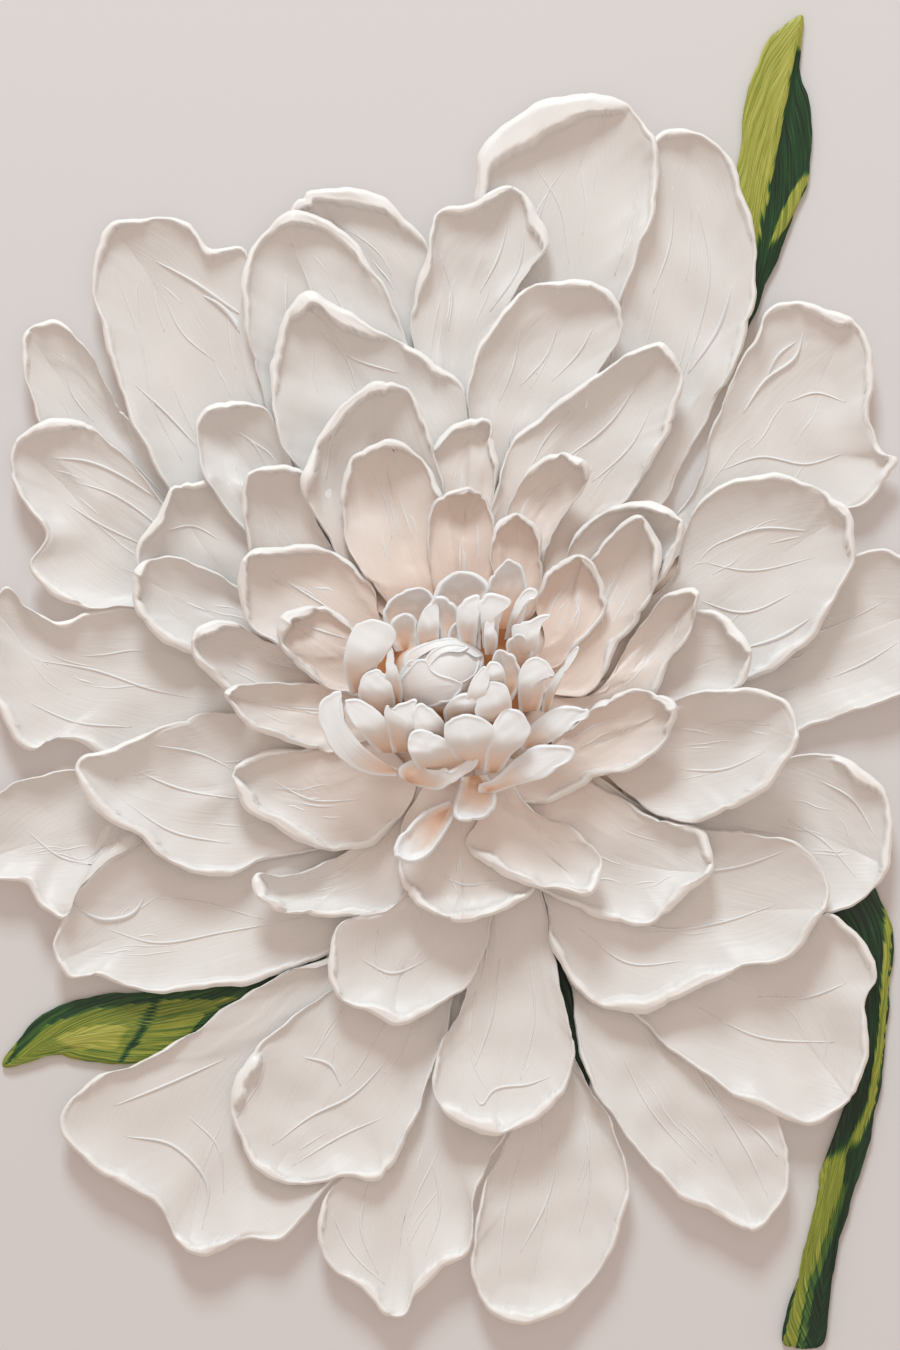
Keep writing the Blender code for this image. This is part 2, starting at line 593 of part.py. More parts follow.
def main():
    for leftover in list(bpy.data.objects):
        bpy.data.objects.remove(leftover)
    holder = bpy.data.objects.new("flower", None)
    bpy.context.scene.collection.objects.link(holder)
    relief = Relief()
    make_core(relief, holder)
    leaf = clay("leaf_paint", LEAF_COLOUR, PAINT_ROUGHNESS)
    sepal = clay("sepal_paint", SEPAL_COLOUR, PAINT_ROUGHNESS)
    stem = clay("stem_paint", STEM_COLOUR, PAINT_ROUGHNESS)
    large, medium, small = LARGE_STATIONS, MEDIUM_STATIONS, SMALL_STATIONS
    make_green("upper_leaf", UPPER_LEAF, large, LEAF_THICKNESS, LEAF_RIDGE, leaf, relief, holder)
    make_green("left_leaf", LEFT_LEAF, large, LEAF_THICKNESS, LEAF_RIDGE, leaf, relief, holder)
    make_green("lower_sepal", LOWER_SEPAL, small, LEAF_THICKNESS, LEAF_RIDGE, sepal, relief, holder)
    make_green("stem", STEM, STEM_STATIONS, STEM_THICKNESS, STEM_RIDGE, stem, relief, holder)
    petal = clay("petal_paste", PETAL_COLOUR, PASTE_ROUGHNESS)
    inner = clay("inner_paste", INNER_COLOUR, PASTE_ROUGHNESS)
    outer_root = BACKING_RADIUS - OUTER_ROOT_LAP
    make_ring("outer", OUTER_PETALS, outer_root, OUTER_LIFT, OUTER_CUP, large, petal, relief, holder)
    make_ring(
        "middle", MIDDLE_PETALS, MIDDLE_ROOT_RADIUS, MIDDLE_LIFT, MIDDLE_CUP, medium, petal, relief, holder
    )
    make_ring(
        "inner", INNER_PETALS, INNER_ROOT_RADIUS, INNER_LIFT, INNER_CUP, small, inner, relief, holder
    )
    make_crown(relief, holder)


main()
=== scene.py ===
import math
import bpy
import numpy as np
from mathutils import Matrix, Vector


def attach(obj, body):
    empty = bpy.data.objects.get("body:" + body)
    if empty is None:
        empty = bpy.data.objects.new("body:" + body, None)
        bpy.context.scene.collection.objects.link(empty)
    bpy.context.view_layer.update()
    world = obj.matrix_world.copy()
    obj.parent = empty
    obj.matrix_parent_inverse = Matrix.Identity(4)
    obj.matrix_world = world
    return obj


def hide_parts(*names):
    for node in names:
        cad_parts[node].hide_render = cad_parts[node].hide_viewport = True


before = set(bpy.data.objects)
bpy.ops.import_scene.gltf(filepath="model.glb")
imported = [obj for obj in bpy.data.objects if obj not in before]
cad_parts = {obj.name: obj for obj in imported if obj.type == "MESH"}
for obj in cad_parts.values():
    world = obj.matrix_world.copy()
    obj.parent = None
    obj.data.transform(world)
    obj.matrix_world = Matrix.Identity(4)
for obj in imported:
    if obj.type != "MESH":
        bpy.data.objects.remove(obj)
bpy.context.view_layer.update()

# The outlines are read on a drawing of 900 units across, which is 600 mm.
drawing = {"width": 0.600, "units": 900, "flowerCentre": (465, 690)}
unit = drawing["width"] / drawing["units"]


def onWall(point):
    across, down = point
    centre = drawing["flowerCentre"]
    return np.array(((across - centre[0]) * unit, (centre[1] - down) * unit))


def linear(hexCode):
    # sRGB hex to the linear colour that a shader takes
    parts = [int(hexCode[spot:spot + 2], 16) / 255 for spot in (1, 3, 5)]
    return tuple(p / 12.92 if p <= 0.04045 else ((p + 0.055) / 1.055) ** 2.4 for p in parts) + (1.0,)


def addNode(tree, kind, settings=None, links=None):
    # a node with its settings, and its sockets filled by values or by other nodes' outputs
    node = tree.nodes.new(kind)
    for name, value in (settings or {}).items():
        setattr(node, name, value)
    for name, value in (links or {}).items():
        socket = node.inputs[name]
        if isinstance(value, bpy.types.NodeSocket):
            tree.links.new(value, socket)
        else:
            socket.default_value = value
    return node


def colourRamp(tree, factor, stops):
    ramp = addNode(tree, "ShaderNodeValToRGB", None, {"Fac": factor})
    while len(ramp.color_ramp.elements) < len(stops):
        ramp.color_ramp.elements.new(0.5)
    for element, (place, hexCode) in zip(ramp.color_ramp.elements, stops):
        element.position = place
        element.color = linear(hexCode)
    return ramp.outputs["Color"]


def newMaterial(name):
    material = bpy.data.materials.new(name)
    material.use_nodes = True
    tree = material.node_tree
    return material, tree, tree.nodes["Principled BSDF"]


def coat(piece, material):
    piece.data.materials.clear()
    piece.data.materials.append(material)


# noise drawn out along the petal, because the knife drags the paste or paint that way
def knifeStreaks(tree, look):
    along = addNode(tree, "ShaderNodeUVMap", {"uv_map": "alongPetal"})
    across = 1000 / look["streakMm"]
    stretched = addNode(tree, "ShaderNodeMapping", None, {
        "Vector": along.outputs["UV"], "Scale": (across, across / look["streakLonger"], 1)})
    streaks = addNode(tree, "ShaderNodeTexNoise", {"noise_dimensions": "2D"}, {
        "Vector": stretched.outputs["Vector"], "Scale": 1.0} | look["streakNoise"])
    return streaks.outputs["Fac"]


# Acrylic modelling paste, spread and dragged with a palette knife, then left to dry.
pasteLook = {
    # edge is a painted highlight white for lips and ridges; warm and deep are partly the paste's own tint and
    # partly painted warm shade
    "edge": "#F4F4F3",
    "cool": "#E1DFDD",
    "warm": "#E8D2C4",
    "deep": "#C58A58",
    "roughness": 0.46,
    "streakMm": 3.0,
    "streakLonger": 9,
    "streakNoise": {"Detail": 3.0, "Roughness": 0.55, "Distortion": 0.6},
    "streakDepthMm": 0.30,
    "grainMm": 1.1,
    "grainDepthMm": 0.05,
}


def modellingPaste(name, look):
    material, tree, shader = newMaterial(name)
    warmth = addNode(tree, "ShaderNodeAttribute", {"attribute_name": "warmth"})
    place = addNode(tree, "ShaderNodeTexCoord")
    streaks = knifeStreaks(tree, look)
    grain = addNode(tree, "ShaderNodeTexNoise", None, {
        "Vector": place.outputs["Object"], "Scale": 1000 / look["grainMm"], "Detail": 2.0})
    # warmth 0 gives the painted highlight white, 0.15 the paste's own colour, and higher values peach then
    # brown, partly painted shade in the middle, at roots and in gaps
    tint = colourRamp(tree, warmth.outputs["Fac"], (
        (0.0, look["edge"]), (0.15, look["cool"]), (0.6, look["warm"]), (1.0, look["deep"])))
    uneven = addNode(tree, "ShaderNodeTexNoise", None, {
        "Vector": place.outputs["Object"], "Scale": 1000 / 45, "Detail": 3.0})
    pale = addNode(tree, "ShaderNodeMapRange", None, {
        "Value": uneven.outputs["Fac"], "From Min": 0.3, "From Max": 0.7, "To Min": 0.965,
        "To Max": 1.02})
    body = addNode(tree, "ShaderNodeVectorMath", {"operation": "SCALE"}, {
        0: tint, "Scale": pale.outputs["Result"]})
    tree.links.new(body.outputs["Vector"], shader.inputs["Base Color"])
    rough = addNode(tree, "ShaderNodeMapRange", None, {
        "Value": streaks, "From Min": 0.3, "From Max": 0.7,
        "To Min": look["roughness"] - 0.06, "To Max": look["roughness"] + 0.08})
    tree.links.new(rough.outputs["Result"], shader.inputs["Roughness"])
    fine = addNode(tree, "ShaderNodeBump", None, {
        "Height": grain.outputs["Fac"], "Distance": look["grainDepthMm"] / 1000, "Strength": 0.6})
    dragged = addNode(tree, "ShaderNodeBump", None, {
        "Height": streaks, "Distance": look["streakDepthMm"] / 1000, "Strength": 0.7,
        "Normal": fine.outputs["Normal"]})
    tree.links.new(dragged.outputs["Normal"], shader.inputs["Normal"])
    shader.inputs["IOR"].default_value = 1.48
    return material


# Heavy-body acrylic paint laid on with a knife: two greens dragged into each other.
paintLook = {
    "roughness": 0.34,
    "streakMm": 2.2,
    "streakLonger": 22,
    "streakNoise": {"Detail": 4.0, "Roughness": 0.6, "Distortion": 0.4},
    "streakDepthMm": 0.5,
    "stops": ((0.0, "#B9BA5C"), (0.25, "#8F9632"), (0.5, "#4A6E26"), (0.75, "#0B4420"), (1.0, "#071C10")),
}


def knifePaint(name, look):
    material, tree, shader = newMaterial(name)
    share = addNode(tree, "ShaderNodeAttribute", {"attribute_name": "darkPaint"})
    streaks = knifeStreaks(tree, look)
    dragged = addNode(tree, "ShaderNodeMapRange", None, {
        "Value": streaks, "From Min": 0.3, "From Max": 0.7, "To Min": -0.22,
        "To Max": 0.22})
    mixed = addNode(tree, "ShaderNodeMath", {"operation": "ADD"}, {
        0: share.outputs["Fac"], 1: dragged.outputs["Result"]})
    paint = colourRamp(tree, mixed.outputs["Value"], look["stops"])
    tree.links.new(paint, shader.inputs["Base Color"])
    ridges = addNode(tree, "ShaderNodeBump", None, {
        "Height": streaks, "Distance": look["streakDepthMm"] / 1000, "Strength": 0.9})
    tree.links.new(ridges.outputs["Normal"], shader.inputs["Normal"])
    shader.inputs["Roughness"].default_value = look["roughness"]
    shader.inputs["IOR"].default_value = 1.48
    return material


def smoothCurve(points, steps=10):
    # a smooth line through the points, even where they are unevenly spaced
    spots = np.array(points, float)
    gaps = np.linalg.norm(np.diff(spots, axis=0), axis=1)
    slopes = np.diff(spots, axis=0) / gaps[:, None]
    tangents = np.vstack([slopes[:1], np.zeros((len(spots) - 2, spots.shape[1])), slopes[-1:]])
    before = gaps[:-1, None]
    after = gaps[1:, None]
    tangents[1:-1] = (slopes[:-1] * after + slopes[1:] * before) / (before + after)
    t = (np.arange(steps) / steps)[:, None]
    line = []
    for index, gap in enumerate(gaps):
        line.append(
            (2 * t**3 - 3 * t**2 + 1) * spots[index]
            + (t**3 - 2 * t**2 + t) * gap * tangents[index]
            + (3 * t**2 - 2 * t**3) * spots[index + 1]
            + (t**3 - t**2) * gap * tangents[index + 1])
    return np.vstack(line + [spots[-1:]])


def spaced(line, count, crowding):
    run = np.concatenate([[0], np.cumsum(np.linalg.norm(np.diff(line, axis=0), axis=1))])
    wanted = run[-1] * (1 - (1 - np.linspace(0, 1, count + 1)) ** crowding)
    return np.stack([np.interp(wanted, run, line[:, axis]) for axis in range(line.shape[1])], axis=1)


def waves(random, count, shortest, longest):
    # a smooth uneven field over the wall, as a sum of waves between two lengths in metres
    lengths = random.uniform(shortest, longest, count)
    turns = random.uniform(0, math.tau, count)
    shifts = random.uniform(0, math.tau, count)
    pull = np.stack([np.cos(turns), np.sin(turns)]) * math.tau / lengths

    def field(places):
        return np.sin(places @ pull + shifts).mean(axis=-1) * math.sqrt(count)
    return field


def rooted(outline, radius, narrowing, outside=False):
    # the outline in metres, with its root drawn in to the radius where the ring's petals start
    points = [onWall(point) for point in outline]
    while np.hypot(*points[0]) < radius and len(points) > 5:
        points.pop(0)
    while np.hypot(*points[-1]) < radius and len(points) > 5:
        points.pop()
    first = math.atan2(points[0][1], points[0][0])
    turn = math.remainder(math.atan2(points[-1][1], points[-1][0]) - first, math.tau)
    start = first + turn * narrowing
    end = first + turn * (1 - narrowing)
    if outside:
        radius /= math.cos((end - start) / 2)
    points.insert(0, radius * np.array((math.cos(start), math.sin(start))))
    points.append(radius * np.array((math.cos(end), math.sin(end))))
    return points


# Petals of paste: net size, sheet, dish, lip and knife marks, in metres.
petalForm = {
    "backShares": (0.18, 0.5),
    "rimAngles": (-50, 0, 50),
    "tipCrowding": 1.25,
    "spineShare": 0.70,
    "cupPower": 3.1,
    "hiddenCup": 0.12,
    "narrowing": 0.06,
    "thickness": 0.0026,
    "rootThickness": 0.0013,
    "lipWidth": 0.0021,
    "lipHeight": 0.0013,
    "lipLevel": 0.9,
    "tear": 0.0007,
    "swell": 0.0010,
    "streakRidge": 0.00055,
    "outer": {"root": 0.125, "lift": 0.003, "cup": 0.011, "lip": 1.0, "stations": 90, "halfLines": 28},
    "middle": {"root": 0.066, "lift": 0.015, "cup": 0.012, "lip": 0.85, "stations": 80, "halfLines": 26},
    "inner": {"root": 0.044, "lift": 0.034, "cup": 0.011, "lip": 0.6, "stations": 64, "halfLines": 22},
}

# Each outline runs from one side of the root, round the tip, to the other side, back petals
# first.
petals = {
    "outer": (
        ((800, 560), (850, 556), (893, 550), (928, 585), (938, 635), (915, 684), (870, 707), (828, 719),
         (790, 738)),
        ((596, 430), (612, 350), (630, 270), (646, 200), (656, 135), (690, 128), (722, 145), (744, 190),
         (757, 248), (756, 290), (744, 345), (716, 402), (690, 450), (660, 506)),
        ((300, 250), (288, 212), (310, 191), (345, 186), (385, 198), (413, 226), (436, 262), (440, 310),
         (438, 355)),
        ((42, 430), (26, 385), (27, 327), (50, 320), (78, 338), (104, 384), (142, 440), (180, 505)),
        ((225, 800), (140, 832), (92, 874), (64, 912), (54, 950), (66, 978), (100, 977), (142, 993),
         (190, 990), (245, 985), (330, 952), (395, 910)),
        ((140, 765), (60, 773), (5, 788), (-24, 828), (-12, 876), (28, 887), (40, 905), (62, 920),
         (78, 888), (120, 855)),
        ((200, 640), (140, 609), (88, 613), (50, 622), (24, 606), (4, 587), (-6, 598), (-10, 640),
         (-8, 690), (6, 728), (32, 751), (55, 738), (80, 742), (102, 757), (170, 735)),
        ((576, 1010), (582, 1060), (605, 1105), (650, 1165), (675, 1193), (715, 1215), (755, 1232),
         (779, 1213), (790, 1165), (780, 1125), (740, 1080)),
        ((525, 1110), (490, 1178), (474, 1245), (480, 1300), (500, 1320), (530, 1326), (580, 1298),
         (614, 1248), (629, 1180), (612, 1127), (582, 1075)),
        ((335, 962), (285, 975), (235, 1003), (190, 1036), (130, 1068), (85, 1086), (59, 1128), (75, 1155),
         (112, 1182), (166, 1218), (175, 1245), (202, 1257), (240, 1243), (280, 1240), (322, 1192),
         (370, 1130)),
        ((400, 1120), (350, 1170), (318, 1222), (322, 1255), (340, 1277), (372, 1300), (385, 1317),
         (405, 1318), (416, 1297), (440, 1272), (467, 1256), (473, 1210), (487, 1165), (507, 1135)),
        ((730, 800), (775, 763), (835, 757), (868, 772), (889, 800), (894, 842), (876, 890), (828, 913),
         (780, 900)),
        ((500, 300), (476, 205), (484, 145), (520, 112), (575, 92), (628, 103), (656, 145), (656, 200),
         (640, 248), (620, 300)),
        ((690, 500), (722, 408), (752, 345), (780, 303), (808, 301), (836, 312), (860, 322), (875, 372),
         (872, 425), (884, 450), (899, 456), (884, 482), (858, 508), (810, 490)),
        ((172, 492), (132, 420), (108, 350), (92, 268), (104, 228), (145, 216), (186, 222), (207, 245),
         (243, 249), (243, 300), (262, 380), (280, 440)),
        ((168, 508), (122, 455), (88, 426), (52, 418), (18, 438), (8, 470), (24, 503), (44, 532), (30, 566),
         (50, 594), (85, 606), (140, 607)),
        ((680, 945), (740, 958), (795, 946), (830, 916), (858, 935), (877, 982), (866, 1006), (870, 1055),
         (852, 1098), (820, 1125), (770, 1112), (705, 1075), (640, 1020)),
        ((340, 985), (278, 1030), (232, 1092), (236, 1132), (270, 1180), (295, 1187), (340, 1178),
         (378, 1181), (400, 1152), (425, 1092), (450, 1020)),
        ((278, 430), (250, 345), (243, 275), (262, 232), (300, 210), (338, 227), (374, 270), (400, 322),
         (414, 362)),
        ((416, 355), (411, 312), (427, 255), (437, 212), (465, 204), (515, 186), (538, 212), (548, 240),
         (525, 275), (495, 325), (470, 378)),
    ),
    "middle": (
        ((262, 712), (190, 718), (130, 742), (78, 766), (90, 804), (132, 832), (165, 858), (212, 877),
         (265, 860), (325, 845)),
        ((330, 862), (280, 876), (258, 874), (256, 892), (270, 908), (310, 914), (365, 917), (410, 902)),
        ((470, 925), (463, 1005), (434, 1068), (440, 1105), (465, 1127), (505, 1132), (545, 1112),
         (573, 1068), (570, 1030), (556, 970), (545, 905)),
        ((385, 912), (347, 920), (330, 950), (338, 995), (368, 1012), (400, 1023), (440, 1004), (474, 975),
         (490, 920)),
        ((680, 565), (690, 518), (722, 486), (768, 475), (815, 487), (848, 513), (855, 548), (836, 597),
         (805, 645), (775, 668), (735, 683), (690, 692)),
        ((546, 900), (556, 955), (590, 1000), (635, 1014), (685, 995), (740, 968), (788, 957), (815, 925),
         (828, 885), (805, 850), (760, 835), (700, 830)),
        ((150, 600), (137, 560), (143, 535), (163, 510), (174, 487), (196, 483), (220, 476), (250, 492),
         (264, 540), (278, 600)),
        ((214, 490), (197, 448), (203, 413), (240, 401), (266, 412), (286, 450), (302, 490)),
        ((305, 480), (278, 430), (272, 385), (282, 325), (308, 292), (345, 312), (388, 336), (425, 357),
         (457, 380), (470, 430)),
        ((472, 430), (468, 385), (490, 330), (530, 288), (575, 281), (610, 293), (623, 316), (612, 350),
         (570, 410)),
        ((437, 505), (431, 452), (458, 424), (488, 422), (496, 460), (492, 515)),
        ((250, 592), (202, 568), (165, 556), (140, 568), (133, 600), (152, 630), (190, 656), (225, 668),
         (265, 655)),
        ((335, 745), (272, 752), (234, 770), (240, 798), (285, 832), (330, 850), (375, 841), (402, 815),
         (415, 790)),
        ((498, 485), (512, 445), (560, 402), (618, 362), (660, 343), (681, 375), (668, 430), (642, 478),
         (608, 520)),
        ((525, 880), (570, 903), (620, 923), (652, 922), (685, 895), (713, 862), (705, 835), (660, 820),
         (620, 800)),
    ),
    "inner": (
        ((625, 676), (672, 655), (697, 612), (725, 618), (747, 655), (744, 680), (715, 696), (672, 712),
         (625, 722)),
        ((640, 735), (675, 701), (735, 689), (788, 706), (794, 730), (776, 775), (735, 806), (695, 820),
         (655, 814), (632, 795)),
        ((400, 850), (405, 885), (425, 908), (460, 918), (505, 908), (533, 886), (505, 850)),
        ((258, 565), (244, 510), (250, 478), (278, 466), (303, 475), (315, 515), (340, 565)),
        ((305, 655), (262, 638), (228, 622), (195, 633), (197, 655), (216, 680), (245, 700), (312, 692)),
        ((335, 688), (270, 683), (228, 694), (238, 714), (280, 738), (340, 750)),
        ((370, 602), (328, 536), (303, 478), (318, 445), (345, 405), (378, 386), (405, 388), (422, 418),
         (435, 455), (445, 505)),
        ((505, 525), (520, 482), (560, 455), (587, 466), (580, 492), (555, 530), (542, 560)),
        ((560, 610), (568, 550), (600, 514), (645, 504), (680, 520), (674, 555), (640, 605), (600, 640)),
        ((598, 694), (630, 642), (665, 598), (695, 589), (692, 622), (666, 667), (634, 724)),
        ((388, 630), (366, 577), (330, 552), (285, 547), (248, 558), (240, 590), (252, 624), (285, 648),
         (345, 655)),
        ((352, 552), (343, 492), (354, 459), (388, 443), (422, 460), (440, 495), (450, 550)),
        ((435, 585), (430, 520), (443, 496), (478, 493), (491, 515), (492, 585)),
        ((497, 600), (490, 555), (500, 524), (517, 514), (535, 528), (541, 560), (540, 600)),
        ((565, 640), (590, 560), (643, 519), (658, 550), (652, 592), (620, 642), (582, 695)),
        ((515, 775), (562, 735), (605, 700), (645, 690), (672, 706), (668, 735), (635, 765), (590, 780),
         (540, 803), (505, 797)),
        ((478, 815), (468, 842), (500, 872), (545, 886), (592, 889), (600, 858), (575, 832), (530, 808)),
        ((370, 655), (348, 622), (315, 607), (287, 614), (281, 640), (300, 667), (325, 684), (360, 697)),
        ((540, 655), (538, 600), (552, 567), (578, 558), (601, 580), (604, 610), (585, 636), (558, 665)),
    ),
}


# Folds: where the paste is turned over thick at the edge. From and to are places on the
# outline, then the fold's width and height in mm.
folds = {
    "outer_02": (((650, 165), (700, 133), 5, 2), ((722, 145), (757, 240), 6, 2.5),
        ((752, 270), (700, 385), 7, 3)),
    "outer_03": (((288, 212), (424, 245), 11, 3),),
    "outer_04": (((26, 385), (27, 327), 5, 2.5), ((30, 322), (78, 338), 4, 2)),
    "outer_05": (((54, 950), (130, 990), 4, 2), ((142, 993), (330, 952), 5, 3)),
    "outer_06": (((-12, 870), (60, 918), 5, 2.5),),
    "outer_07": (((20, 635), (75, 611), 4, 2), ((-8, 690), (55, 745), 7, 3), ((55, 740), (170, 735), 6, 3)),
    "outer_08": (((576, 1010), (605, 1105), 4, 2), ((650, 1165), (779, 1213), 7, 3.5)),
    "outer_09": (((490, 1178), (478, 1290), 4, 2), ((478, 1295), (580, 1298), 8, 4),
        ((600, 1270), (629, 1190), 5, 3)),
    "outer_10": (((190, 1036), (62, 1110), 6, 3), ((59, 1128), (170, 1220), 7, 3.5),
        ((172, 1240), (240, 1243), 7, 3.5)),
    "outer_11": (((330, 1200), (320, 1250), 5, 2.5), ((340, 1277), (390, 1317), 7, 3.5),
        ((405, 1318), (467, 1256), 9, 4)),
    "outer_12": (((835, 757), (889, 800), 9, 3.5), ((889, 800), (878, 888), 6, 3)),
    "outer_13": (((478, 235), (630, 104), 22, 5), ((640, 120), (640, 248), 5, 3)),
    "outer_14": (((750, 350), (808, 301), 4, 2), ((800, 302), (860, 322), 8, 3.5),
        ((862, 322), (872, 425), 6, 3), ((876, 440), (884, 482), 7, 2.5)),
    "outer_15": (((118, 390), (95, 290), 5, 2.5), ((95, 300), (150, 216), 5, 2.5),
        ((170, 218), (243, 249), 5, 2.5)),
    "outer_16": (((18, 438), (95, 430), 7, 3), ((8, 470), (44, 532), 5, 2.5), ((30, 566), (85, 606), 7, 3)),
    "outer_17": (((830, 916), (877, 982), 5, 2), ((866, 1006), (852, 1098), 4, 2),
        ((840, 1115), (720, 1090), 6, 3)),
    "outer_18": (((262, 1060), (234, 1110), 12, 4), ((236, 1140), (300, 1187), 6, 3),
        ((330, 1180), (420, 1110), 6, 3)),
    "outer_19": (((250, 345), (262, 232), 5, 2.5), ((255, 240), (374, 270), 9, 3.5)),
    "outer_20": (((411, 312), (437, 212), 8, 3), ((440, 210), (515, 186), 7, 2.5),
        ((520, 190), (535, 265), 8, 3)),
    "middle_01": (((150, 732), (78, 766), 5, 2.5), ((74, 766), (165, 858), 9, 4),
        ((165, 860), (265, 860), 5, 3)),
    "middle_02": (((257, 870), (285, 912), 9, 4), ((285, 912), (400, 906), 6, 3)),
    "middle_03": (((438, 1060), (436, 1090), 5, 2), ((440, 1105), (505, 1132), 11, 4),
        ((510, 1130), (568, 1075), 6, 3)),
    "middle_04": (((332, 935), (340, 1000), 5, 3), ((342, 1000), (440, 1004), 8, 4)),
    "middle_05": (((690, 518), (815, 487), 4, 2), ((820, 490), (850, 560), 6, 2.5),
        ((836, 597), (735, 683), 8, 4)),
    "middle_06": (((550, 925), (600, 1008), 8, 4), ((600, 1008), (740, 968), 10, 4.5),
        ((750, 965), (828, 890), 5, 3)),
    "middle_07": (((137, 560), (174, 487), 5, 2.5), ((180, 486), (243, 492), 5, 2.5)),
    "middle_08": (((200, 430), (262, 408), 4, 2),),
    "middle_09": (((274, 400), (290, 305), 6, 3), ((285, 320), (388, 336), 13, 4),
        ((400, 342), (457, 385), 5, 2.5)),
    "middle_10": (((468, 385), (530, 288), 4, 2), ((540, 285), (620, 320), 5, 2.5)),
    "middle_11": (((431, 452), (488, 422), 5, 2.5), ((486, 424), (496, 490), 5, 2)),
    "middle_12": (((150, 560), (134, 605), 6, 3), ((133, 595), (215, 665), 10, 4)),
    "middle_13": (((300, 748), (234, 770), 5, 3), ((234, 775), (330, 850), 10, 5),
        ((330, 850), (402, 818), 6, 3)),
    "middle_14": (((512, 445), (618, 362), 4, 2), ((625, 360), (681, 375), 5, 2.5),
        ((682, 375), (642, 478), 7, 3)),
    "middle_15": (((560, 900), (652, 922), 6, 3), ((652, 922), (713, 862), 7, 3.5),
        ((713, 862), (665, 822), 7, 3)),
    "inner_01": (((697, 612), (747, 655), 7, 3), ((747, 655), (715, 694), 5, 2.5)),
    "inner_02": (((675, 701), (794, 725), 4, 2), ((794, 730), (695, 820), 7, 3.5)),
    "inner_03": (((403, 870), (440, 915), 6, 3), ((440, 915), (533, 886), 7, 3.5)),
    "inner_04": (((246, 530), (250, 478), 4, 2), ((258, 474), (303, 475), 4, 2)),
    "inner_05": (((240, 626), (194, 640), 9, 4), ((194, 645), (245, 700), 7, 3.5)),
    "inner_06": (((240, 688), (228, 700), 4, 2), ((228, 696), (325, 748), 6, 3)),
    "inner_07": (((306, 500), (318, 445), 8, 3.5), ((316, 450), (405, 388), 8, 3),
        ((408, 392), (435, 455), 4, 2)),
    "inner_08": (((520, 482), (560, 455), 5, 2.5), ((560, 455), (584, 480), 6, 2.5)),
    "inner_09": (((568, 550), (600, 514), 4, 2), ((604, 512), (680, 520), 6, 2.5),
        ((680, 522), (650, 592), 7, 3)),
    "inner_10": (((665, 598), (692, 622), 5, 2.5), ((690, 625), (645, 702), 6, 3)),
    "inner_11": (((252, 620), (248, 558), 6, 3), ((248, 560), (330, 552), 6, 2.5),
        ((330, 552), (380, 610), 4, 2)),
    "inner_12": (((345, 505), (354, 459), 5, 2.5), ((352, 462), (422, 460), 5, 2),
        ((422, 462), (445, 520), 4, 2)),
    "inner_13": (((443, 496), (478, 493), 4, 2),),
    "inner_14": (((492, 545), (517, 514), 4, 2), ((517, 514), (541, 560), 4, 2)),
    "inner_15": (((590, 560), (643, 519), 4, 2), ((644, 520), (652, 592), 7, 3),
        ((652, 592), (600, 675), 6, 3)),
    "inner_16": (((562, 735), (645, 690), 6, 3), ((645, 690), (668, 735), 7, 3),
        ((668, 735), (540, 803), 7, 3.5)),
    "inner_17": (((470, 845), (545, 886), 8, 4), ((545, 886), (600, 865), 8, 3.5)),
    "inner_18": (((360, 640), (315, 607), 5, 2.5), ((318, 608), (281, 645), 9, 4),
        ((281, 645), (325, 684), 5, 3)),
    "inner_19": (((540, 600), (578, 558), 4, 2), ((576, 558), (604, 610), 5, 2),
        ((604, 612), (570, 655), 4, 2)),
}

